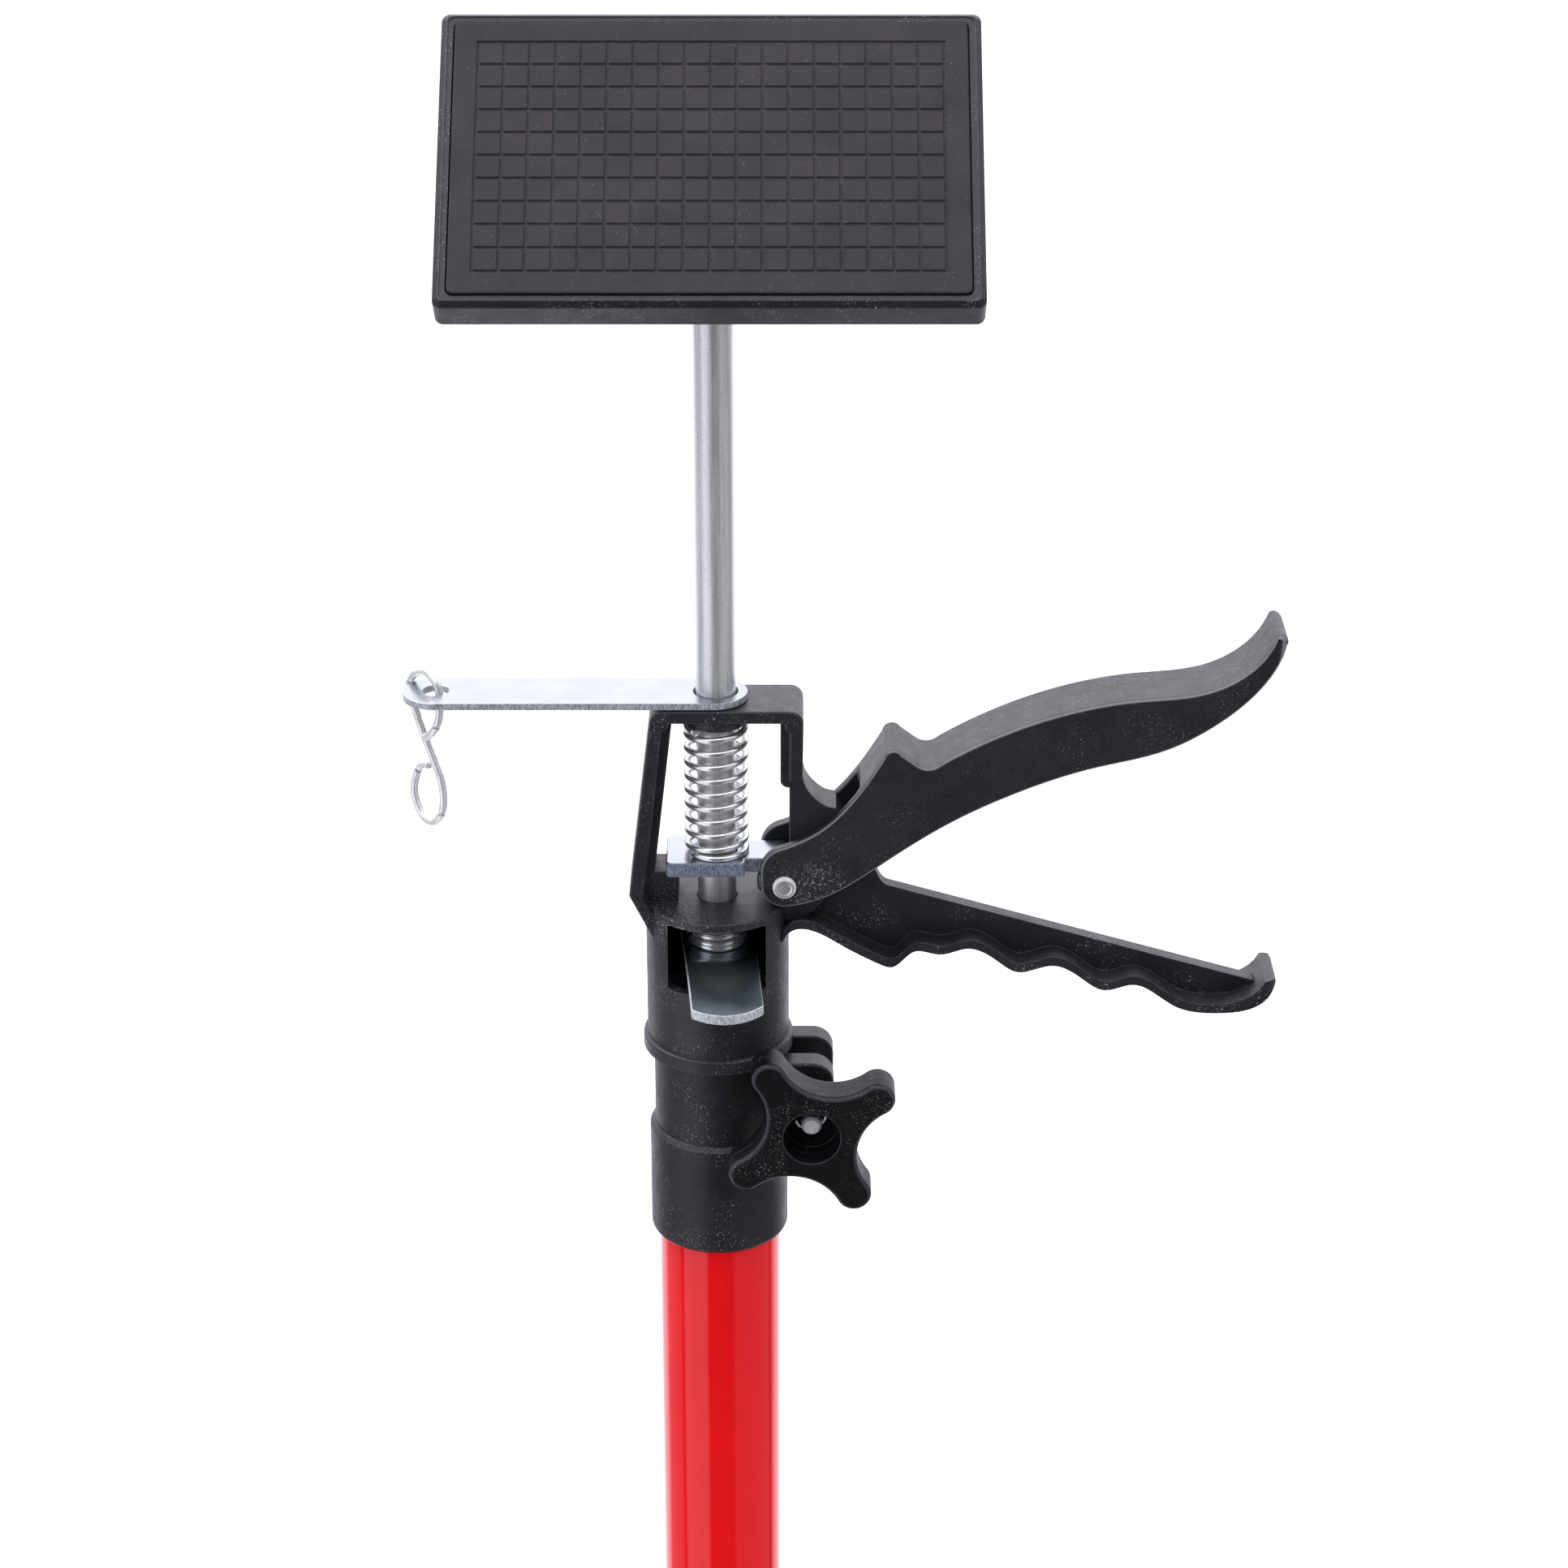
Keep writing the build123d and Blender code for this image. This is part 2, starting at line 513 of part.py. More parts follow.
def barrel():
    """Round socket under the deck, open at the front for the brake plate's tab."""
    body = disc(BARREL_RADIUS, -BARREL_DEPTH, 0)
    body = fillet(body.faces().sort_by(Axis.Z)[-1].edges(), MOULD_ROUND)
    rim = disc(RING_RADIUS, -BARREL_DEPTH, -BARREL_DEPTH + RING_HEIGHT)
    body += fillet(rim.faces().sort_by(Axis.Z)[-1].edges(), 1.0)
    body -= disc(BARREL_RADIUS - BARREL_WALL, -CAVITY_DEPTH, -DECK_THICKNESS)
    body -= disc(INNER_TUBE_RADIUS, -BARREL_DEPTH, -CAVITY_DEPTH)
    window = Pos(0, 0, -(WINDOW_DEPTH + DECK_THICKNESS) / 2) * Rot(90, 0, 0) * RectangleRounded(
        WINDOW_WIDTH, WINDOW_DEPTH - DECK_THICKNESS, WINDOW_CORNER)
    body -= extrude(window, BARREL_RADIUS + 1)
    ledge_top = brake_seat_z(BRAKE_BACK_Y) - BRAKE_THICKNESS - 0.45
    ledge = brake_ledge_space(ledge_top - 6, ledge_top)
    return body + ledge & disc(RING_RADIUS, -BARREL_DEPTH, 0)


def brake_ledge_space(bottom, top):
    """The block at the back of the barrel's cavity that the brake plate's rear edge rests on."""
    return box((-BRAKE_LEDGE_HALF, BRAKE_LEDGE_Y, bottom), (BRAKE_LEDGE_HALF, BARREL_RADIUS - 2, top))


def make_head(inner_tube, inner_top):
    """The one-piece moulded head, screwed to the inner tube."""
    head = barrel() + frame_band() + head_ribs() + lever_block() + fixed_handle()
    cavity = disc(BARREL_RADIUS - BARREL_WALL, -CAVITY_DEPTH, -DECK_THICKNESS)
    head -= cavity - brake_ledge_space(-CAVITY_DEPTH, -DECK_THICKNESS)
    head -= disc(ROD_RADIUS + ROD_CLEARANCE, -DECK_THICKNESS - 1, BRIDGE_TOP + 1)
    head = HEAD * head
    screw = radial_fastener(SHANK_RADIUS, 14.6, BARREL_RADIUS, DOME_RADIUS, 2.2)
    screw_height = inner_top - HEAD_SCREW_DROP
    screws = [Rot(0, 0, angle) * Pos(0, 0, screw_height) * screw for angle in HEAD_SCREW_ANGLES]
    PARTS["head_screws"] = Compound(children=screws)
    PARTS["head_body"] = head - screws
    PARTS["inner_tube"] = inner_tube - screws


# ---------------------------------------------------------------- lever
def nose_point(angle):
    """A point on the round nose of the lever's cheek, about the rivet."""
    return (PIVOT_X + NOSE_RADIUS * cos(radians(angle)), PIVOT_Z + NOSE_RADIUS * sin(radians(angle)))


def lever_outline():
    """Side view of the lever: nose at the rivet, hump, long hollow-backed grip and upturned tip."""
    nose = [nose_point(angle) for angle in (180, 230, 285)]
    grip_end = (169.7, 86.8)
    tip_end = (165.9, 89.2)
    hollow = [(67.4, 48.6), (64.0, 47.1), (61.0, 47.9)]
    hump = [(55.9, 51.7), (53.1, 53.1), (50.3, 50.5)]
    shoulder = [(19.6, 20.4), (15.0, 17.4), (13.4, 12.0)]
    return closed(
        ThreePointArc(*nose),
        Spline(nose[2], (32.6, 3.6), (49.5, 14.3), (69.6, 28.1), (91.8, 39.3), (113.9, 47.1), (133.9, 52.4),
               (150.1, 61.4), (163.9, 74.9), grip_end),
        ThreePointArc(grip_end, (169.2, 89.2), tip_end),
        Spline(tip_end, (159.3, 79.3), (147.4, 72.4), (126.5, 69.5), (104.5, 65.2), (82.4, 56.8), hollow[0]),
        ThreePointArc(*hollow),
        Line(hollow[2], hump[0]),
        ThreePointArc(*hump),
        Spline(hump[2], (44.7, 41.4), (39.2, 34.0), (32.5, 27.3), (25.7, 23.0), shoulder[0]),
        ThreePointArc(*shoulder),
        Line(shoulder[2], nose[0]),
    )


def make_lever():
    """Channel-section squeeze lever: two cheeks, a spine over the grip and a lifting wall at the nose."""
    outline = lever_outline()
    lever = rounded_tip(side_slab(outline, LEVER_HALF_WIDTH), LEVER_TIP_X, LEVER_HALF_WIDTH)
    slot = box((PIVOT_X - 20, -LEVER_GAP_HALF, -20), (SPINE_START_X, LEVER_GAP_HALF, 60))
    under_spine = Pos(1.4, 0, -3.1) * side_slab(outline, LEVER_GAP_HALF)
    under_spine &= box((SPINE_START_X - 1, -LEVER_GAP_HALF, -20), (SPINE_END_X, LEVER_GAP_HALF, 90))
    lever -= slot + under_spine
    lever += box((12.3, -LEVER_GAP_HALF - 1, 5.2), (15.0, LEVER_GAP_HALF + 1, SEAT_HEIGHT))
    lever -= along_y(RIVET_RADIUS + RUNNING_CLEARANCE, -20, 20, PIVOT_X, PIVOT_Z)
    PARTS["squeeze_lever"] = HEAD * lever
    head_inner = LEVER_HALF_WIDTH + 0.1
    head_outer = head_inner + 1.3
    rivet = along_y(RIVET_RADIUS, -head_outer, head_outer, PIVOT_X, PIVOT_Z)
    for side in (-1, 1):
        span = sorted((side * head_inner, side * head_outer))
        head = along_y(RIVET_HEAD_RADIUS, *span, PIVOT_X, PIVOT_Z)
        outside = head.faces().sort_by(Axis.Y)[-1 if side > 0 else 0]
        rivet += fillet(outside.edges(), 0.7)
        rivet -= Pos(PIVOT_X, side * (head_outer + 1.6), PIVOT_Z) * Sphere(2.6)
    PARTS["lever_rivet"] = HEAD * rivet


# ---------------------------------------------------------------- drive and brake
def make_drive():
    """Drive plate round the rod with its tongue over the lever's lifting wall, and its spring."""
    body = Pos(-3.4, 0) * RectangleRounded(24.0, 20.8, 1.8)
    tongue = Pos(13.0, 0) * RectangleRounded(16.2, 13.2, 1.2)
    plate = extrude(body + tongue, DRIVE_PLATE_THICKNESS)
    plate = chamfer(plate.faces().sort_by(Axis.Z)[-1].edges(), 0.35)
    plate -= disc(ROD_RADIUS + ROD_CLEARANCE, -1, DRIVE_PLATE_THICKNESS + 1)
    PARTS["drive_plate"] = HEAD * Pos(0, 0, DRIVE_PLATE_BOTTOM) * plate
    bottom = DRIVE_PLATE_BOTTOM + DRIVE_PLATE_THICKNESS + WIRE_RADIUS + 0.3
    top = BRIDGE_TOP - BRIDGE_THICKNESS - BOSS_HEIGHT - WIRE_RADIUS - 0.2
    PARTS["drive_spring"] = HEAD * coil(DRIVE_SPRING_PITCH, top - bottom, SPRING_RADIUS, WIRE_RADIUS, bottom)


def brake_seat_z(y):
    """Height of the brake plate's top face over its seat part."""
    return BRAKE_BEND_Z + (y - BRAKE_BEND_Y) * tan(radians(BRAKE_SEAT_TILT))


def make_brake():
    """Bent brake plate: a seat round the rod, a tab out of the window, and the spring above the seat."""
    front_z = BRAKE_BEND_Z + (BRAKE_FRONT_Y - BRAKE_BEND_Y) * tan(radians(BRAKE_TAB_TILT))
    back_z = brake_seat_z(BRAKE_BACK_Y)
    top = [(BRAKE_BACK_Y, back_z), (BRAKE_BEND_Y, BRAKE_BEND_Z), (BRAKE_FRONT_Y, front_z)]
    drop = BRAKE_THICKNESS / cos(radians(BRAKE_SEAT_TILT))
    outline = polygon(top + [(y, z - drop) for y, z in reversed(top)], [0, 6.0, 0, 0, 9.0, 0])
    side = Plane.YZ * make_face(outline)
    plate = extrude(side, BRAKE_WIDTH / 2, both=True)
    length = BRAKE_BACK_Y - BRAKE_FRONT_Y
    middle = (BRAKE_BACK_Y + BRAKE_FRONT_Y) / 2
    plan = Pos(0, middle) * RectangleRounded(BRAKE_WIDTH, length, BRAKE_REAR_CORNER)
    front = length - 2 * BRAKE_REAR_CORNER
    plan += Pos(0, BRAKE_FRONT_Y + front / 2) * RectangleRounded(BRAKE_WIDTH, front, BRAKE_CORNER)
    round_end = Pos(0, BRAKE_FRONT_Y + BRAKE_END_RADIUS) * Circle(BRAKE_END_RADIUS)
    plan &= round_end + Pos(0, 8) * Rectangle(BRAKE_WIDTH, 46)
    plate &= Pos(0, 0, -40) * extrude(plan, 40)
    seat = Pos(0, 0, brake_seat_z(0)) * Rot(BRAKE_SEAT_TILT, 0, 0)
    rod_hole = seat * Pos(0, 0, -8) * extrude(SlotOverall(13.4, 12.8, rotation=90), 16)
    PARTS["brake_plate"] = HEAD * Rot(0, 0, BRAKE_YAW) * (plate - rod_hole)
    spring_top = -DECK_THICKNESS - WIRE_RADIUS - 0.1
    PARTS["brake_spring"] = HEAD * coil(BRAKE_SPRING_PITCH, BRAKE_SPRING_HEIGHT, SPRING_RADIUS - 0.3,
                                        WIRE_RADIUS - 0.05, spring_top - BRAKE_SPRING_HEIGHT)


# ---------------------------------------------------------------- rod, hook arm and wire hook
def make_rod():
    """Plain steel rod, a washer and screw at its lower end, a groove for the swivel's grub screw."""
    rod_top = PAD_PIVOT_Z - 5.5
    rod = disc(ROD_RADIUS, ROD_BOTTOM, rod_top)
    rod = chamfer(rod.faces().sort_by(Axis.Z)[-1].edges(), 0.8)
    groove_middle = PAD_PIVOT_Z - GRUB_DROP
    rod -= ring(ROD_RADIUS + 1, ROD_RADIUS - 1.2, groove_middle - 2.4, groove_middle + 2.4)
    screw = disc(2.5, ROD_BOTTOM - 2, ROD_BOTTOM + 14)
    screw_head = disc(4.6, ROD_BOTTOM - 5.2, ROD_BOTTOM - 2)
    screw += fillet(screw_head.faces().sort_by(Axis.Z)[0].edges(), 1.2)
    washer = ring(11.0, 2.5, ROD_BOTTOM - 2, ROD_BOTTOM)
    PARTS["rod"] = rod - screw
    PARTS["rod_end_screw"] = screw
    PARTS["rod_end_washer"] = washer
    return groove_middle


def make_hook_arm():
    """Flat arm that turns about the rod on the bridge, with a hole for the wire hook."""
    right_end = 9.6
    left_end = -ARM_REACH - ARM_HALF_WIDTH
    bar = Pos((right_end + left_end) / 2, 0) * SlotOverall(right_end - left_end, 2 * ARM_HALF_WIDTH)
    bar -= Circle(ROD_RADIUS + ARM_ROD_CLEARANCE)
    bar -= Pos(-ARM_REACH, 0) * Circle(ARM_HOLE_RADIUS)
    arm = extrude(bar, ARM_THICKNESS)
    PARTS["hook_arm"] = HEAD * Pos(0, 0, ARM_BOTTOM) * arm


def make_wire_hook():
    """Round wire bent into a figure of eight, hung through the arm's hole.

    Each point is (along the hook's plane, across it, height above the deck)."""
    route = [(4.1, 1.7, 51.7), (0.7, 1.4, 54.4), (-1.3, 0.8, 58.0), (-1.7, 0.2, 62.2), (-1.3, 0, 68.7),
             (0.8, 0, 71.5), (4.6, 0, 72.8), (10.0, 0, 70.3), (12.3, 0, 65.4), (10.1, 0, 58.9),
             (6.0, 0, 50.7), (2.5, 0, 44.7), (-0.6, 0, 38.9), (-1.6, 0, 32.9), (-0.3, 0, 27.3),
             (3.7, 0, 23.1), (8.5, 0, 23.7), (12.0, -0.1, 28.7), (12.4, -0.6, 33.9),
             (10.3, -1.4, 39.5), (6.6, -1.7, 40.9)]
    away = (-cos(radians(HOOK_YAW)), sin(radians(HOOK_YAW)))
    points = [(-ARM_REACH + along * away[0] - across * away[1], along * away[1] + across * away[0], z)
              for along, across, z in route]
    path = Spline(*points)
    section = Plane(origin=path @ 0, z_dir=path % 0) * Circle(HOOK_WIRE_RADIUS)
    PARTS["wire_hook"] = HEAD * sweep(section, path=path)


# ---------------------------------------------------------------- pad joint
def make_pad(groove_middle):
    """Swivel block on the rod, hinge pin with clip, and the tilting pad with its rubber."""
    shoulder_z = 5.2
    prism = polygon([(-10.0, -24.0), (10.0, -24.0), (10.0, shoulder_z), (5.0, 9.4), (-5.0, 9.4),
                     (-10.0, shoulder_z)])
    block = extrude(Plane.YZ * make_face(prism), SWIVEL_HALF_WIDTH, both=True)
    block += disc(SWIVEL_COLLAR_RADIUS, -31.0, -9.0)
    block = PAD_PIVOT * (block - along_x(PAD_PIN_RADIUS + RUNNING_CLEARANCE, -20, 20))
    block -= disc(ROD_RADIUS + RUNNING_CLEARANCE, PAD_PIVOT_Z - 35, PAD_PIVOT_Z - 5.2)
    grub = along_y(2.0, ROD_RADIUS - 0.9, SWIVEL_COLLAR_RADIUS - 0.8, 0, groove_middle)
    PARTS["swivel_screw"] = grub
    PARTS["swivel_block"] = block - along_y(2.0, 0, SWIVEL_COLLAR_RADIUS + 1, 0, groove_middle)
    ear_inner = SWIVEL_HALF_WIDTH + 0.4
    ear_outer = ear_inner + PAD_EAR_THICKNESS
    face = PAD_PIVOT * Rot(PAD_TILT, 0, 0)
    plate = Pos(0, 0, PAD_FACE_DISTANCE) * tray()
    floor = PAD_FACE_DISTANCE - TRAY_DEPTH
    plate += box((-20, -17, floor), (20, 17, floor + TRAY_DEPTH - RUBBER_THICKNESS))
    ear_outline = polygon([(-14.0, floor + 1), (-7.0, -7.0), (7.0, -7.0), (14.0, floor + 1)],
                          [0, 6.0, 6.0, 0])
    ear = extrude(Plane.YZ * make_face(ear_outline), PAD_EAR_THICKNESS / 2, both=True)
    for side in (-1, 1):
        plate += Pos(side * (ear_inner + PAD_EAR_THICKNESS / 2), 0, 0) * ear
    plate -= along_x(PAD_PIN_RADIUS, -20, 20)
    PARTS["pad_plate"] = face * plate
    PARTS["pad_rubber"] = face * Pos(0, 0, PAD_FACE_DISTANCE) * rubber_sheet()
    pin = along_x(PAD_PIN_RADIUS, -ear_outer, ear_outer + 2.6)
    pin += along_x(5.0, -ear_outer - 2.0, -ear_outer)
    clip = along_x(5.2, ear_outer + 0.2, ear_outer + 1.4) - along_x(PAD_PIN_RADIUS, 0, 30)
    PARTS["pad_hinge_pin"] = face * pin
    PARTS["pad_pin_clip"] = face * clip


def build():
    """Make every piece and write one STEP file for each."""
    tube_seat, socket_rivets = make_foot()
    inner_tube, inner_top = make_tubes(tube_seat, socket_rivets)
    make_knob()
    make_head(inner_tube, inner_top)
    make_lever()
    make_drive()
    make_brake()
    groove_middle = make_rod()
    make_hook_arm()
    make_wire_hook()
    make_pad(groove_middle)
    os.makedirs("parts", exist_ok=True)
    for node, shape in PARTS.items():
        export_step(shape, f"parts/{node}.step")


build()
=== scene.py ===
"""Looks of the telescopic support prop: materials, springs, wire, light and camera round the CAD frame."""
import json
import math

import bmesh
import bpy
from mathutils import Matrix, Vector


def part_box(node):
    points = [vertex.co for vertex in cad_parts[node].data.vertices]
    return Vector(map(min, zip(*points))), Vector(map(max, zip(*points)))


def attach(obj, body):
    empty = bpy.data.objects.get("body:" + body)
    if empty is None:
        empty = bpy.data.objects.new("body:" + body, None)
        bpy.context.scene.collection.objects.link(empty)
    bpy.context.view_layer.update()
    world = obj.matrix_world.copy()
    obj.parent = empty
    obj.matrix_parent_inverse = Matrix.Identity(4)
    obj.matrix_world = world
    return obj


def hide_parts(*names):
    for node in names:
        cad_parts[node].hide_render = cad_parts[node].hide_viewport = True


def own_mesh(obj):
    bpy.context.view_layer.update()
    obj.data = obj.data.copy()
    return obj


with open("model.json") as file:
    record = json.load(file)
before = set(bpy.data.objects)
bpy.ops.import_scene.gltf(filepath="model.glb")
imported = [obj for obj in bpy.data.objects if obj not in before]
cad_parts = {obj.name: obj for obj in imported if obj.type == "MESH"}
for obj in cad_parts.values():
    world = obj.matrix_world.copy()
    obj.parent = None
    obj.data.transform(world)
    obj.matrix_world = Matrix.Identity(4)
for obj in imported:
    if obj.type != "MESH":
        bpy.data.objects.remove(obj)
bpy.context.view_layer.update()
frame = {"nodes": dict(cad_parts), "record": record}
NODES = frame["nodes"]
MM = 0.001


def record_joint(name):
    """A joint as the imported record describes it."""
    return [joint for joint in frame["record"]["behaviour"]["joints"] if joint["name"] == name][0]


# ---------------------------------------------------------------- material building
class Recipe:
    """A principled material in the making. Patterns are in the piece's own coordinates."""

    def __init__(self, name, **constants):
        self.material = bpy.data.materials.new(name)
        self.material.use_nodes = True
        self.tree = self.material.node_tree
        self.tree.nodes.clear()
        output = self.tree.nodes.new("ShaderNodeOutputMaterial")
        self.shader = self.tree.nodes.new("ShaderNodeBsdfPrincipled")
        self.tree.links.new(self.shader.outputs["BSDF"], output.inputs["Surface"])
        self.place = self.tree.nodes.new("ShaderNodeTexCoord")
        for socket, value in constants.items():
            self.shader.inputs[socket.replace("_", " ")].default_value = value

    def feed(self, socket, value):
        """Set an input to a number, a colour or another node's output."""
        if isinstance(value, bpy.types.NodeSocket):
            self.tree.links.new(value, socket)
        elif isinstance(value, tuple) and len(value) == 3 and socket.type == "RGBA":
            socket.default_value = (*value, 1.0)
        else:
            socket.default_value = value

    def noise(self, size_mm, detail=2.0, stretch=(1, 1, 1), roughness=0.5):
        """Noise whose features are about this size, longer along the axes that stretch names."""
        mapping = self.tree.nodes.new("ShaderNodeMapping")
        self.tree.links.new(self.place.outputs["Object"], mapping.inputs["Vector"])
        mapping.inputs["Scale"].default_value = [1 / (size_mm * MM * s) for s in stretch]
        node = self.tree.nodes.new("ShaderNodeTexNoise")
        node.inputs["Scale"].default_value = 1.0
        node.inputs["Detail"].default_value = detail
        node.inputs["Roughness"].default_value = roughness
        self.tree.links.new(mapping.outputs["Vector"], node.inputs["Vector"])
        return node.outputs["Fac"]

    def span(self, factor, low, high, to_low=0.0, to_high=1.0):
        """The factor's range low to high, mapped to another range and held at its ends."""
        node = self.tree.nodes.new("ShaderNodeMapRange")
        node.clamp = True
        self.feed(node.inputs["Value"], factor)
        for socket, value in zip(("From Min", "From Max", "To Min", "To Max"), (low, high, to_low, to_high)):
            self.feed(node.inputs[socket], value)
        return node.outputs["Result"]

    def math(self, operation, a, b=0.0):
        """One arithmetic step."""
        node = self.tree.nodes.new("ShaderNodeMath")
        node.operation = operation
        self.feed(node.inputs[0], a)
        self.feed(node.inputs[1], b)
        return node.outputs["Value"]

    def mix(self, factor, a, b):
        """Colour a at factor 0, colour b at factor 1."""
        node = self.tree.nodes.new("ShaderNodeMix")
        node.data_type = "RGBA"
        self.feed(node.inputs["Factor"], factor)
        self.feed([s for s in node.inputs if s.name == "A" and s.type == "RGBA"][0], a)
        self.feed([s for s in node.inputs if s.name == "B" and s.type == "RGBA"][0], b)
        return [s for s in node.outputs if s.type == "RGBA"][0]

    def axis(self, output, index):
        """One coordinate (0 X, 1 Y, 2 Z) of the piece's Object position or its Normal."""
        node = self.tree.nodes.new("ShaderNodeSeparateXYZ")
        self.tree.links.new(self.place.outputs[output], node.inputs["Vector"])
        return node.outputs[index]

    def near(self, point, radius_mm):
        """1 at this point of the piece, fading to 0 at the radius."""
        node = self.tree.nodes.new("ShaderNodeVectorMath")
        node.operation = "DISTANCE"
        self.tree.links.new(self.place.outputs["Object"], node.inputs[0])
        node.inputs[1].default_value = point
        return self.span(node.outputs["Value"], radius_mm * MM, 0.4 * radius_mm * MM)

    def sharp_edge_mask(self, radius_mm):
        """1 beside edges sharper than the radius, 0 on open faces and on edges already rounder."""
        bevel = self.tree.nodes.new("ShaderNodeBevel")
        bevel.samples = 4
        bevel.inputs["Radius"].default_value = radius_mm * MM
        geometry = self.tree.nodes.new("ShaderNodeNewGeometry")
        dot = self.tree.nodes.new("ShaderNodeVectorMath")
        dot.operation = "DOT_PRODUCT"
        self.tree.links.new(bevel.outputs["Normal"], dot.inputs[0])
        self.tree.links.new(geometry.outputs["Normal"], dot.inputs[1])
        return self.span(dot.outputs["Value"], 0.995, 0.90)

    def bump(self, *layers, round_mm=0.0):
        """Relief from layers of (height, depth in millimetres), over edges rounded by a small radius."""
        normal = None
        if round_mm:
            bevel = self.tree.nodes.new("ShaderNodeBevel")
            bevel.samples = 4
            bevel.inputs["Radius"].default_value = round_mm * MM
            normal = bevel.outputs["Normal"]
        for height, depth in layers:
            node = self.tree.nodes.new("ShaderNodeBump")
            node.inputs["Strength"].default_value = 1.0
            node.inputs["Distance"].default_value = depth * MM
            self.feed(node.inputs["Height"], height)
            if normal is not None:
                self.tree.links.new(normal, node.inputs["Normal"])
            normal = node.outputs["Normal"]
        self.tree.links.new(normal, self.shader.inputs["Normal"])

    def finish(self, colour, roughness):
        """Connect the colour and the roughness."""
        self.feed(self.shader.inputs["Base Color"], colour)
        self.feed(self.shader.inputs["Roughness"], roughness)
        return self.material


def moulded_plastic(name, seam=None, tone=1.0, gloss=0.5, dusty=(), edge_highlight=0.5, ridge_highlight=0.0):
    """Charcoal satin plastic with a fine grain, dust specks, painted highlights along its edges and, if
    given, a parting line.

    seam is (axis index, position in metres); dusty is a list of (point, radius in millimetres); the ridge
    setting is how strongly a highlight is painted on the rounded edges between the sides, which face Y, and
    the rest."""
    r = Recipe(name, Specular_IOR_Level=gloss)
    cloud = r.noise(22, detail=3)
    dark, pale = [tuple(tone * part for part in shade)
                  for shade in ((0.0095, 0.0088, 0.0118), (0.0150, 0.0140, 0.0178))]
    colour = r.mix(r.span(cloud, 0.35, 0.65), dark, pale)
    grain = r.span(r.noise(0.34, detail=2), 0.55, 0.74)
    colour = r.mix(r.math("MULTIPLY", grain, 0.45 * tone), colour, (0.060, 0.058, 0.062))
    # painted highlight: beside sharp edges the colour is painted paler, in patches
    edge = r.sharp_edge_mask(0.5)
    paler_edge = r.math("MULTIPLY", edge, r.span(r.noise(3.5, detail=3), 0.35, 0.65, 0.25, 1.0))
    colour = r.mix(r.math("MULTIPLY", paler_edge, edge_highlight), colour, (0.15, 0.147, 0.155))
    # painted highlight: the rounded edges between the sides, which face Y, and the rest are painted pale
    if ridge_highlight:
        side = r.math("ABSOLUTE", r.axis("Normal", 1))
        rounded = r.math("MULTIPLY", r.span(side, 0.30, 0.50), r.span(side, 0.97, 0.86))
        colour = r.mix(r.math("MULTIPLY", rounded, ridge_highlight), colour, (0.20, 0.197, 0.205))
    fleck = r.math("MULTIPLY", r.span(r.noise(0.5, detail=1), 0.66, 0.70), r.span(r.noise(14), 0.47, 0.6))
    for point, radius_mm in dusty:
        speck = r.span(r.noise(0.6, detail=1), 0.61, 0.66)
        fleck = r.math("MAXIMUM", fleck, r.math("MULTIPLY", speck, r.near(point, radius_mm)))
    colour = r.mix(r.math("MULTIPLY", fleck, 0.75), colour, (0.30, 0.29, 0.29))
    layers = [(r.noise(0.45, detail=3, roughness=0.6), 0.016), (r.noise(9, detail=1), 0.05)]
    if seam:
        index, position = seam
        offset = r.math("ABSOLUTE", r.math("SUBTRACT", r.axis("Object", index), position))
        line = r.span(offset, 0.20 * MM, 0.05 * MM)
        colour = r.mix(r.math("MULTIPLY", line, 0.55), colour, (0.12, 0.12, 0.125))
        layers.append((line, 0.06))
    r.bump(*layers, round_mm=0.35)
    return r.finish(colour, r.span(r.noise(4, detail=2), 0.3, 0.7, 0.38, 0.48))


def matte_rubber(name):
    """Brownish black rubber: dull, finely mottled, a few pale specks."""
    r = Recipe(name, Specular_IOR_Level=0.22)
    cloud = r.noise(16, detail=4, roughness=0.6)
    colour = r.mix(r.span(cloud, 0.3, 0.7), (0.024, 0.0212, 0.0232), (0.036, 0.0322, 0.0345))
    fine = r.noise(0.9, detail=3)
    colour = r.mix(r.span(fine, 0.45, 0.75, 0.0, 0.35), colour, (0.052, 0.047, 0.049))
    fleck = r.math("MULTIPLY", r.span(r.noise(0.6, detail=1), 0.70, 0.75), r.span(r.noise(5), 0.5, 0.62))
    colour = r.mix(r.math("MULTIPLY", fleck, 0.35), colour, (0.30, 0.28, 0.27))
    # beside sharp edges the colour is paler, in patches
    paler_edge = r.math("MULTIPLY", r.sharp_edge_mask(0.25), r.span(r.noise(2.2), 0.4, 0.7, 0.1, 0.8))
    colour = r.mix(r.math("MULTIPLY", paler_edge, 0.35), colour, (0.12, 0.112, 0.112))
    r.bump((r.noise(0.5, detail=4, roughness=0.65), 0.03), (r.noise(6, detail=2), 0.06))
    return r.finish(colour, r.span(fine, 0.3, 0.7, 0.62, 0.78))


def gloss_paint(name):
    """Bright red stoved gloss: faint orange peel, a few dust nibs under the coat."""
    r = Recipe(name, Specular_IOR_Level=0.0, Coat_Weight=1.0, Coat_Roughness=0.06, Coat_IOR=1.5)
    cloud = r.noise(30, detail=2)
    colour = r.mix(r.span(cloud, 0.35, 0.65), (0.68, 0.0035, 0.0055), (0.73, 0.0046, 0.0072))
    nib = r.span(r.noise(0.8, detail=0), 0.80, 0.84)
    colour = r.mix(r.math("MULTIPLY", nib, 0.4), colour, (0.72, 0.08, 0.08))
    r.bump((r.noise(1.6, detail=1), 0.010), (nib, 0.02), (r.noise(0.5, stretch=(1, 1, 60)), 0.004))
    return r.finish(colour, r.span(r.noise(5), 0.3, 0.7, 0.30, 0.38))


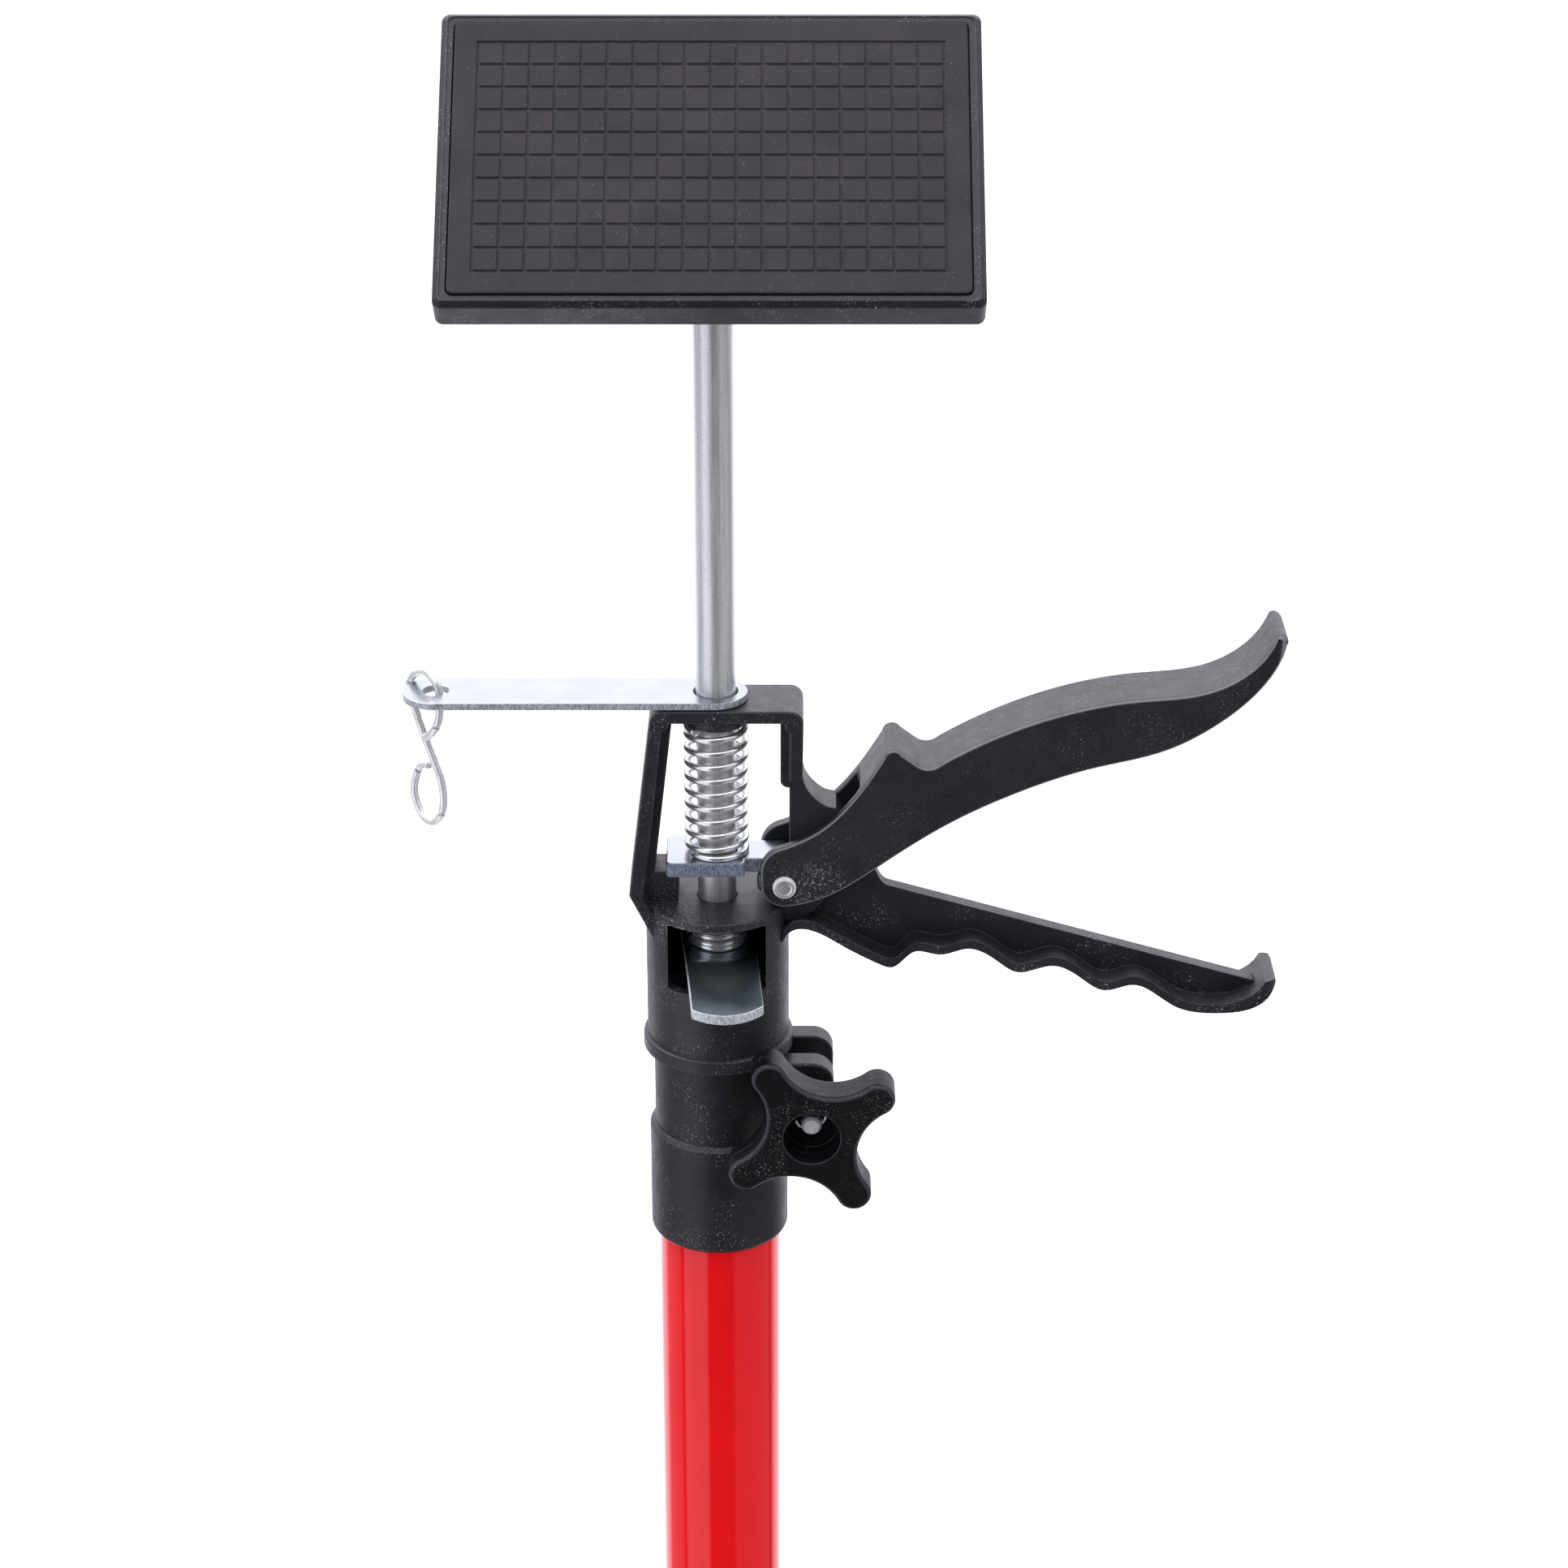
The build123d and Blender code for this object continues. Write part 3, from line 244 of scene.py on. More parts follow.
def drawn_zinc(name, dark, pale, rough=(0.36, 0.48)):
    """Zinc-plated drawn bar or tube: streaks along Z, fine pitting, cool and warm patches."""
    r = Recipe(name, Metallic=0.72)
    streak = r.noise(0.7, detail=3, stretch=(1, 1, 55))
    colour = r.mix(r.span(streak, 0.3, 0.7), dark, pale)
    tint = r.noise(9, detail=2, stretch=(1, 1, 9))
    colour = r.mix(r.span(tint, 0.45, 0.7, 0.0, 0.30), colour, (0.66, 0.63, 0.69))
    pit = r.span(r.noise(0.35, detail=2, stretch=(1, 1, 1.8)), 0.56, 0.70)
    colour = r.mix(r.math("MULTIPLY", pit, 0.45), colour, (0.30, 0.33, 0.32))
    r.bump((streak, 0.010), (r.noise(0.35, detail=2, stretch=(1, 1, 1.8)), 0.010))
    return r.finish(colour, r.span(streak, 0.3, 0.7, *rough))


def sheet_zinc(name, face_dark, face_pale, edge_dark, edge_pale, rough=0.26, spring_reflection=None):
    """Bright zinc on pressed sheet: smooth clouded faces, rough speckled sheared edges.

    The last argument, if given, is (point, radius in millimetres) of a patch painted brighter: a painted
    reflection of a spring."""
    r = Recipe(name)
    cloud = r.noise(11, detail=4, roughness=0.6)
    face = r.mix(r.span(cloud, 0.3, 0.7), face_dark, face_pale)
    grain = r.noise(0.30, detail=2)
    face = r.mix(r.span(grain, 0.58, 0.74, 0.0, 0.35), face, (0.34, 0.38, 0.42))
    # painted reflection of a spring: the face is painted brighter round a point
    if spring_reflection:
        face = r.mix(r.math("MULTIPLY", r.near(*spring_reflection), 0.8), face, (0.70, 0.77, 0.79))
    shear = r.noise(0.45, detail=3, stretch=(1, 1, 3.0), roughness=0.65)
    side = r.mix(r.span(shear, 0.38, 0.62), edge_dark, edge_pale)
    upright = r.span(r.math("ABSOLUTE", r.axis("Normal", 2)), 0.55, 0.80)
    r.feed(r.shader.inputs["Metallic"], r.span(upright, 0, 1, 0.4, 1.0))
    colour = r.mix(upright, side, face)
    r.bump((r.noise(0.30, detail=2), 0.008), (r.math("MULTIPLY", shear, r.span(upright, 0, 1, 1, 0)), 0.035))
    return r.finish(colour, r.span(upright, 0, 1, rough + 0.16, rough))


def bright_wire(name, rough=0.17, metallic=0.88, outline=0.34, spot_mm=0.8):
    """Bright drawn spring wire with faint fine relief and small dull spots."""
    r = Recipe(name, Metallic=metallic, Specular_Tint=(outline, outline, outline, 1.0))
    spot = r.noise(spot_mm, detail=3)
    colour = r.mix(r.span(spot, 0.35, 0.7), (0.92, 0.93, 0.92), (0.76, 0.77, 0.76))
    r.bump((r.noise(0.25, detail=2), 0.004))
    return r.finish(colour, r.span(spot, 0.3, 0.7, rough, rough + 0.12))


def plated_steel(name, colour_a=(0.90, 0.91, 0.92), colour_b=(0.72, 0.74, 0.75)):
    """Zinc-plated fastener: a little cloudy, with darker specks."""
    r = Recipe(name, Metallic=0.35)
    cloud = r.noise(2.0, detail=3)
    colour = r.mix(r.span(cloud, 0.35, 0.65), colour_a, colour_b)
    speck = r.span(r.noise(0.3, detail=1), 0.62, 0.72)
    colour = r.mix(r.math("MULTIPLY", speck, 0.5), colour, (0.22, 0.23, 0.23))
    r.bump((r.noise(0.25, detail=3), 0.012))
    return r.finish(colour, r.span(cloud, 0.3, 0.7, 0.24, 0.40))


def natural_acetal(name):
    """Milky engineering plastic of the sliding bush, a little soiled by handling."""
    r = Recipe(name, Subsurface_Weight=0.1, Subsurface_Scale=0.002)
    cloud = r.noise(7, detail=3)
    colour = r.mix(r.span(cloud, 0.3, 0.7), (0.70, 0.69, 0.65), (0.60, 0.58, 0.53))
    r.bump((r.noise(0.7, detail=2), 0.01))
    return r.finish(colour, r.span(cloud, 0.3, 0.7, 0.36, 0.48))


# ---------------------------------------------------------------- finishes for the CAD pieces
def paint(material, *names):
    """Give these CAD nodes a material."""
    for name in names:
        for material_slot in NODES[name].material_slots:
            material_slot.material = material


def soften(name, width_mm, segments=2, angle=28):
    """Round a CAD node's edges with modifiers: join split vertices, merge flat faces, bevel, even normals."""
    piece = NODES[name]
    weld = piece.modifiers.new("weld", "WELD")
    weld.merge_threshold = 2e-6
    flat = piece.modifiers.new("flat", "DECIMATE")
    flat.decimate_type = "DISSOLVE"
    flat.angle_limit = math.radians(0.35)
    bevel = piece.modifiers.new("bevel", "BEVEL")
    bevel.width = width_mm * MM
    bevel.segments = segments
    bevel.limit_method = "ANGLE"
    bevel.angle_limit = math.radians(angle)
    bevel.use_clamp_overlap = False
    bevel.miter_outer = "MITER_ARC"
    even = piece.modifiers.new("even", "WEIGHTED_NORMAL")
    even.keep_sharp = False
    even.weight = 60


ALONG_Y = 1
KNOB_SEAM_DEPTH = 6.2 * MM
PLATE_ABOVE_DECK = 10.6 * MM
KNOB_SEAM_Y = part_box("star_knob")[0].y + KNOB_SEAM_DEPTH
DECK_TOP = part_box("drive_plate")[0].z - PLATE_ABOVE_DECK

# places where dust has settled, each with its radius in millimetres
DECK_DUST = ((-0.013, -0.013, DECK_TOP), 15)
GUSSET_DUST = ((0.032, -0.009, DECK_TOP - 0.018), 14)
LEVER_ROOT_DUST = ((0.030, -0.011, DECK_TOP + 0.006), 13)

paint(moulded_plastic("plastic_head", (ALONG_Y, 0.0), dusty=[DECK_DUST, GUSSET_DUST]), "head_body")
# the knob and the lever get a painted highlight on their rounded edges, the lever the strongest
paint(moulded_plastic("plastic_knob", (ALONG_Y, KNOB_SEAM_Y), tone=0.35, gloss=0.22, ridge_highlight=0.15), "star_knob")
paint(moulded_plastic("plastic_lever", dusty=[LEVER_ROOT_DUST], ridge_highlight=0.75), "squeeze_lever")
paint(moulded_plastic("plastic_black", tone=0.8, gloss=0.42, edge_highlight=0.4),
      "clamp_collar", "pad_plate", "foot_plate", "foot_socket", "swivel_block")
rubber = matte_rubber("rubber_black")
paint(gloss_paint("paint_red"), "outer_tube")
paint(drawn_zinc("zinc_rod", (0.64, 0.665, 0.65), (0.87, 0.89, 0.88), (0.27, 0.42)), "rod")
paint(drawn_zinc("zinc_tube", (0.50, 0.52, 0.53), (0.70, 0.72, 0.74), (0.24, 0.34)), "inner_tube")
BLUE_ZINC = ((0.37, 0.40, 0.43), (0.42, 0.445, 0.475))
# where a spring's reflection is painted on the brake plate's face
BRAKE_SPRING_REFLECTION = ((0.0021, -0.0184, DECK_TOP - 0.0191), 8.0)
paint(sheet_zinc("zinc_sheet", *BLUE_ZINC, (0.10, 0.12, 0.16), (0.30, 0.34, 0.41)), "drive_plate")
paint(sheet_zinc("zinc_arm", *BLUE_ZINC, (0.20, 0.22, 0.24), (0.56, 0.59, 0.61)), "hook_arm")
paint(sheet_zinc("zinc_brake", (0.24, 0.31, 0.34), (0.42, 0.49, 0.52), (0.38, 0.40, 0.42), (0.74, 0.76, 0.77),
                 rough=0.22, spring_reflection=BRAKE_SPRING_REFLECTION), "brake_plate")
paint(bright_wire("wire_bright"), "drive_spring", "brake_spring")
paint(plated_steel("steel_plated"), "foot_screws", "head_screws", "clamp_bolt", "clamp_washer", "knob_nut",
      "rod_end_screw", "rod_end_washer", "swivel_screw", "pad_hinge_pin", "pad_pin_clip")
paint(plated_steel("rivet_aluminium", (0.92, 0.92, 0.91), (0.78, 0.78, 0.77)),
      "lever_rivet", "socket_rivets", "collar_rivets")
paint(natural_acetal("acetal"), "guide_bush")

soften("squeeze_lever", 1.0, 3)
soften("star_knob", 0.35)
soften("foot_socket", 0.5)
soften("hook_arm", 0.2)
soften("drive_plate", 0.2)
soften("brake_plate", 0.35)
soften("swivel_block", 0.5)


# ---------------------------------------------------------------- wires and springs
def piece_from(mesh, name, material):
    """A smooth-shaded piece in the scene, made from a finished bmesh, which is freed."""
    bmesh.ops.recalc_face_normals(mesh, faces=mesh.faces)
    data = bpy.data.meshes.new(name)
    mesh.to_mesh(data)
    mesh.free()
    for face in data.polygons:
        face.use_smooth = True
    data.materials.append(material)
    piece = bpy.data.objects.new(name, data)
    bpy.context.scene.collection.objects.link(piece)
    return piece


def ring_frame(tangent, guide):
    """Two directions across a wire that runs along tangent, the first one near guide."""
    out = (guide - tangent * guide.dot(tangent)).normalized()
    return out, tangent.cross(out)


def wire_piece(name, points, radius, material, sides=14, flat_range=None):
    """A round wire swept through points with closed ends; flat_range grinds it to two heights.

    Known fault: where a wire turns steep the guide switches from Z to X, so the next ring is twisted
    against the last and the tube pinches between them. It is in the hook, the split pin and the bolt's
    thread; the two springs are never steep enough."""
    mesh = bmesh.new()
    rings = []
    for index, point in enumerate(points):
        ahead = points[min(index + 1, len(points) - 1)]
        behind = points[max(index - 1, 0)]
        tangent = (ahead - behind).normalized()
        guide = Vector((0, 0, 1)) if abs(tangent.z) < 0.9 else Vector((1, 0, 0))
        out, across = ring_frame(tangent, guide)
        loop = []
        for side in range(sides):
            turn = 2 * math.pi * side / sides
            spot = point + (out * math.cos(turn) + across * math.sin(turn)) * radius
            if flat_range:
                spot.z = min(max(spot.z, flat_range[0]), flat_range[1])
            loop.append(mesh.verts.new(spot))
        rings.append(loop)
    for before, after in zip(rings, rings[1:]):
        for side in range(sides):
            following = (side + 1) % sides
            mesh.faces.new((before[side], before[following], after[following], after[side]))
    mesh.faces.new(list(reversed(rings[0])))
    mesh.faces.new(rings[-1])
    return piece_from(mesh, name, material)


def spring_line(centre, radius, low, high, turns, closed_turns, start, steps=40, lean=None):
    """Centre line of a compression spring whose end coils lie flat; lean tilts its lower end."""
    points = []
    count = int(turns * steps)
    free = turns - 2 * closed_turns
    for index in range(count + 1):
        turn = index / steps
        climb = min(max((turn - closed_turns) / free, 0.0), 1.0)
        angle = start + 2 * math.pi * turn
        x = radius * math.cos(angle)
        y = radius * math.sin(angle)
        z = low + (high - low) * climb
        if lean:
            z += (x * lean[0] + y * lean[1]) * (1 - climb)
        points.append(Vector((centre.x + x, centre.y + y, z)))
    return points


def middle(name):
    """Centre of a CAD node's box."""
    low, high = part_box(name)
    return (low + high) / 2


wire = bpy.data.materials["wire_bright"]
WIRE_RADIUS = 1.0 * MM
DRIVE_PLATE_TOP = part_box("drive_plate")[1].z
END_COIL_INSET = 0.85 * MM
spring_low, spring_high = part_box("drive_spring")
DRIVE_SPRING_TOP = spring_high.z + 0.2 * MM
axis_point = Vector((0, 0, 0))
coil_radius = (spring_high.x - spring_low.x) / 2 - WIRE_RADIUS
line = spring_line(axis_point, coil_radius, DRIVE_PLATE_TOP + END_COIL_INSET,
                   DRIVE_SPRING_TOP - END_COIL_INSET, turns=10.03, closed_turns=0.5, start=math.radians(218))
drive_coils = wire_piece("drive_spring_coils", line, WIRE_RADIUS, wire,
                         flat_range=(DRIVE_PLATE_TOP, DRIVE_SPRING_TOP))
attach(drive_coils, "stage")
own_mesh(drive_coils)
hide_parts("drive_spring")

brake_low, brake_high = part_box("brake_spring")
BRAKE_YAW = math.radians(6.6)
BRAKE_SEAT_SLOPE = math.tan(math.radians(9))
BRAKE_PLATE_DROP = 14.47 * MM
BRAKE_COIL_RISE = 1.05 * MM
DECK_THICKNESS = 2.6 * MM
BRAKE_PLATE_AT_AXIS = DECK_TOP - BRAKE_PLATE_DROP
DECK_UNDERSIDE = DECK_TOP - DECK_THICKNESS
brake_coil_radius = (brake_high.x - brake_low.x) / 2 - WIRE_RADIUS
brake_lean = (-math.sin(BRAKE_YAW) * BRAKE_SEAT_SLOPE, math.cos(BRAKE_YAW) * BRAKE_SEAT_SLOPE)
line = spring_line(axis_point, brake_coil_radius, BRAKE_PLATE_AT_AXIS + BRAKE_COIL_RISE,
                   DECK_UNDERSIDE - WIRE_RADIUS, turns=6.2, closed_turns=0.75, start=math.radians(150),
                   lean=brake_lean)
brake_coils = wire_piece("brake_spring_coils", line, WIRE_RADIUS, wire)
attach(brake_coils, "stage")
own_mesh(brake_coils)
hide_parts("brake_spring")


# ---------------------------------------------------------------- bolt thread and split pin
bolt_low, bolt_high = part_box("clamp_bolt")
bolt_x = (bolt_low.x + bolt_high.x) / 2
bolt_z = (bolt_low.z + bolt_high.z) / 2
THREAD_PITCH = 1.0 * MM
THREAD_LENGTH = 9.0 * MM
THREAD_STEPS = 24
THREAD_RADIUS = 2.88 * MM
THREAD_START = 0.9 * MM
THREAD_CREST_RADIUS = 0.28 * MM


def thread_line():
    """Crest of the bolt's thread, from just behind the end's chamfer backwards."""
    points = []
    for index in range(int(THREAD_LENGTH / THREAD_PITCH * THREAD_STEPS) + 1):
        turn = 2 * math.pi * index / THREAD_STEPS
        depth = bolt_low.y + THREAD_START + THREAD_PITCH * index / THREAD_STEPS
        points.append(Vector((bolt_x + THREAD_RADIUS * math.cos(turn), depth,
                              bolt_z + THREAD_RADIUS * math.sin(turn))))
    return points


def smooth_line(corners, steps=8):
    """A curve through given corners, as evenly spaced points of a Catmull-Rom spline."""
    padded = [corners[0] * 2 - corners[1], *corners, corners[-1] * 2 - corners[-2]]
    points = []
    for p0, p1, p2, p3 in zip(padded, padded[1:], padded[2:], padded[3:]):
        for index in range(steps):
            t = index / steps
            points.append(0.5 * ((2 * p1) + (p2 - p0) * t + (2 * p0 - 5 * p1 + 4 * p2 - p3) * t * t
                                 + (3 * p1 - p0 - 3 * p2 + p3) * t ** 3))
    points.append(corners[-1])
    return points


steel = bpy.data.materials["steel_plated"]
thread = wire_piece("clamp_bolt_thread", thread_line(), THREAD_CREST_RADIUS, steel, sides=8)
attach(thread, "base")

PIN_ROUTE = [(-4.9, 1.5), (-3.9, -0.3), (-3.0, -0.65), (0.0, 0.0), (3.0, 0.65), (3.8, 1.2), (4.5, 3.2)]
PIN_DEPTH = 1.5 * MM
PIN_RADIUS = 0.36 * MM
pin_y = bolt_low.y + PIN_DEPTH
pin_line = smooth_line([Vector((bolt_x + x * MM, pin_y, bolt_z + z * MM)) for x, z in PIN_ROUTE])
pin = wire_piece("split_pin_bent", pin_line, PIN_RADIUS, steel, sides=10)
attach(pin, "base")
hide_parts("split_pin")


# ---------------------------------------------------------------- rolled rims of the lever rivet
RIVET_PROFILE = ((3.05, 0.0), (2.95, 0.22), (2.65, 0.36), (2.3, 0.30), (2.1, 0.05), (1.75, 0.03),
                 (1.2, 0.10), (0.6, 0.16))
RIVET_SIDES = 48


def rivet_rim(name, centre, outward):
    """A turned rim with a dimple, standing on a rivet head that faces outward along Y."""
    mesh = bmesh.new()
    rings = []
    for radius, height in RIVET_PROFILE:
        ring = []
        for index in range(RIVET_SIDES):
            turn = 2 * math.pi * index / RIVET_SIDES
            offset = Vector((radius * math.cos(turn), outward * height, radius * math.sin(turn)))
            ring.append(mesh.verts.new(centre + offset * MM))
        rings.append(ring)
    for outer, inner in zip(rings, rings[1:]):
        for index in range(RIVET_SIDES):
            following = (index + 1) % RIVET_SIDES
            mesh.faces.new((outer[index], outer[following], inner[following], inner[index]))
    mesh.faces.new(rings[0])
    mesh.faces.new(rings[-1])
    piece = piece_from(mesh, name, bpy.data.materials["rivet_aluminium"])
    for face in piece.data.polygons:
        face.use_smooth = len(face.vertices) == 4
    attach(piece, "stage")


rivet_low, rivet_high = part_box("lever_rivet")
rivet_centre = middle("lever_rivet")
rivet_rim("lever_rivet_rim_front", Vector((rivet_centre.x, rivet_low.y, rivet_centre.z)), -1)
rivet_rim("lever_rivet_rim_back", Vector((rivet_centre.x, rivet_high.y, rivet_centre.z)), 1)


# ---------------------------------------------------------------- wire hook
HOOK_ROUTE = [(4.1, 1.7, 51.7), (0.7, 1.4, 54.4), (-1.3, 0.8, 58.0), (-1.7, 0.2, 62.2), (-1.3, 0, 68.7),
              (0.8, 0, 71.5), (4.6, 0, 72.8), (10.0, 0, 70.3), (12.3, 0, 65.4), (10.1, 0, 58.9),
              (6.0, 0, 50.7), (2.5, 0, 44.7), (-0.6, 0, 38.9), (-1.6, 0, 32.9), (-0.3, 0, 27.3),
              (3.7, 0, 23.1), (8.5, 0, 23.7), (12.0, -0.1, 28.7), (12.4, -0.6, 33.9), (10.3, -1.4, 39.5),
              (6.6, -1.7, 40.9)]
HOOK_WIRE_RADIUS = 1.25 * MM
hook_hinge = record_joint("hook_swing")
hook_along = Vector(hook_hinge["axis"])
hook_across = Vector((-hook_along.y, hook_along.x, 0))
hook_root = Vector((hook_hinge["pos_m"][0], hook_hinge["pos_m"][1], DECK_TOP))
hook_line = smooth_line([hook_root + hook_along * (along * MM) + hook_across * (across * MM)
                         + Vector((0, 0, height * MM)) for along, across, height in HOOK_ROUTE])
hook_finish = bright_wire("wire_hook_bright", rough=0.22, metallic=0.62, outline=0.50, spot_mm=6.0)
hook_wire = wire_piece("wire_hook_bent", hook_line, HOOK_WIRE_RADIUS, hook_finish, sides=16)
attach(hook_wire, "hook")
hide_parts("wire_hook")


# ---------------------------------------------------------------- rubber sheets with squares
SHEET_LENGTH = 144.5
SHEET_WIDTH = 86.0
SHEET_THICKNESS = 3.6
SHEET_CORNER = 1.6
SQUARE_PITCH = 7.27
SQUARES_LONG = 18
SQUARES_WIDE = 10
WALL_PROFILE = ((0.43, 0.42), (0.48, 0.13), (0.54, 0.03), (0.62, 0.0))
EDGE_PROFILE = ((0.0, 0.30), (0.04, 0.15), (0.13, 0.05), (0.30, 0.0), (1.05, 0.0))


def profile_depth(profile, distance):
    """Depth below the face at this distance, in straight steps between the profile's points."""
    if distance <= profile[0][0]:
        return profile[0][1]
    for (near, deep), (far, shallow) in zip(profile, profile[1:]):
        if distance < far:
            return deep + (shallow - deep) * (distance - near) / (far - near)
    return profile[-1][1]


def sheet_lines(length, squares):
    """Positions along one side where the sheet's mesh needs a line."""
    half_field = squares * SQUARE_PITCH / 2
    lines = [0.0]
    for index in range(squares + 1):
        centre = index * SQUARE_PITCH - half_field
        for offset, _ in WALL_PROFILE:
            lines += [centre - offset, centre + offset]
    for inset, _ in EDGE_PROFILE + ((SHEET_CORNER, 0.0),):
        lines += [inset - length / 2, length / 2 - inset]
    return sorted(lines)


def groove_depth(place, squares):
    """Depth from the nearest groove that runs across this side."""
    half_field = squares * SQUARE_PITCH / 2
    index = min(max(round((place + half_field) / SQUARE_PITCH), 0), squares)
    return profile_depth(WALL_PROFILE, abs(place + half_field - index * SQUARE_PITCH))


def field_depth(place, squares):
    """Deep inside the field of squares, rising to the face past its end."""
    return profile_depth(WALL_PROFILE, max(abs(place) - squares * SQUARE_PITCH / 2, 0.0))


def sheet_point(x, y):
    """A point of the face in millimetres, with the sheet's corners rounded, and its depth."""
    centre_x = SHEET_LENGTH / 2 - SHEET_CORNER
    centre_y = SHEET_WIDTH / 2 - SHEET_CORNER
    past_x = abs(x) - centre_x
    past_y = abs(y) - centre_y
    inset = min(SHEET_LENGTH / 2 - abs(x), SHEET_WIDTH / 2 - abs(y))
    if past_x > 0 and past_y > 0:
        turn = math.atan2(past_y, past_x)
        reach = max(past_x, past_y)
        x = math.copysign(centre_x + reach * math.cos(turn), x)
        y = math.copysign(centre_y + reach * math.sin(turn), y)
    columns = min(groove_depth(x, SQUARES_LONG), field_depth(y, SQUARES_WIDE))
    rows = min(groove_depth(y, SQUARES_WIDE), field_depth(x, SQUARES_LONG))
    return x, y, max(columns, rows, profile_depth(EDGE_PROFILE, inset))


def rubber_sheet(name, centre, long_way, wide_way, body, node):
    """A rubber sheet whose face, a field of squares between grooves, looks along long_way x wide_way."""
    outward = long_way.cross(wide_way)
    mesh = bmesh.new()
    grid = []
    for x in sheet_lines(SHEET_LENGTH, SQUARES_LONG):
        column = []
        for y in sheet_lines(SHEET_WIDTH, SQUARES_WIDE):
            place_x, place_y, depth = sheet_point(x, y)
            spot = long_way * place_x + wide_way * place_y - outward * depth
            column.append(mesh.verts.new(centre + spot * MM))
        grid.append(column)
    for left, right in zip(grid, grid[1:]):
        for index in range(len(left) - 1):
            mesh.faces.new((left[index], right[index], right[index + 1], left[index + 1]))
    rim = [column[0] for column in grid] + grid[-1][1:] + [column[-1] for column in grid[-2::-1]]
    rim += grid[0][-2:0:-1]
    drop = outward * ((SHEET_THICKNESS - EDGE_PROFILE[0][1]) * MM)
    bottom = [mesh.verts.new(vert.co - drop) for vert in rim]
    for index, vert in enumerate(rim):
        following = (index + 1) % len(rim)
        mesh.faces.new((vert, bottom[index], bottom[following], rim[following]))
    mesh.faces.new(list(reversed(bottom)))
    piece = piece_from(mesh, name, rubber)
    even = piece.modifiers.new("even", "WEIGHTED_NORMAL")
    even.weight = 70
    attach(piece, body)
    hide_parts(node)


pad_mount = [mount for mount in frame["record"]["mounts"] if mount["name"] == "pad_face"][0]
pad_outward = Vector(pad_mount["axis"])
pad_pivot = Vector(record_joint("pad_tilt")["pos_m"])
pad_top = pad_pivot + pad_outward * (Vector(pad_mount["pos_m"]) - pad_pivot).dot(pad_outward)
pad_wide = pad_outward.cross(Vector((1, 0, 0)))
rubber_sheet("pad_rubber_squares", pad_top, Vector((1, 0, 0)), pad_wide, "pad", "pad_rubber")
rubber_sheet("foot_rubber_squares", Vector((0, 0, 0)), Vector((1, 0, 0)), Vector((0, -1, 0)), "base",
             "foot_rubber")


# ---------------------------------------------------------------- stage, light and camera
ROOM_TINT = (0.985, 0.970, 1.070)
FRONT_GLOW = 0.06
STRIPS = ((-74, -24, 0.95), (-130, -82, 0.40), (28, 110, 0.30))
STRIP_FADE = 4
BACK_LOW_GLOW = 1.4
BACK_GLOW = 2.1
ZENITH_GLOW = 2.4
SEEN_GLOW = 1.05
# angles in degrees between which each part of the room fades in
FRONT_RISE = (-60, 0)
BACK_LOW_BEARING = (112, 134)
BACK_BEARING = (105, 130)
BACK_RISE = (0, 12)
ZENITH_RISE = (38, 58)

floor_mesh = bpy.data.meshes.new("floor")
FLOOR_HALF = 12.0
floor_mesh.from_pydata([(-FLOOR_HALF, -FLOOR_HALF, 0), (FLOOR_HALF, -FLOOR_HALF, 0),
                        (FLOOR_HALF, FLOOR_HALF, 0), (-FLOOR_HALF, FLOOR_HALF, 0)], [], [(0, 1, 2, 3)])
floor = bpy.data.objects.new("floor", floor_mesh)
bpy.context.scene.collection.objects.link(floor)
floor_recipe = Recipe("floor_white")
floor_mesh.materials.append(floor_recipe.finish((0.78, 0.78, 0.78), 0.8))
floor.visible_glossy = False


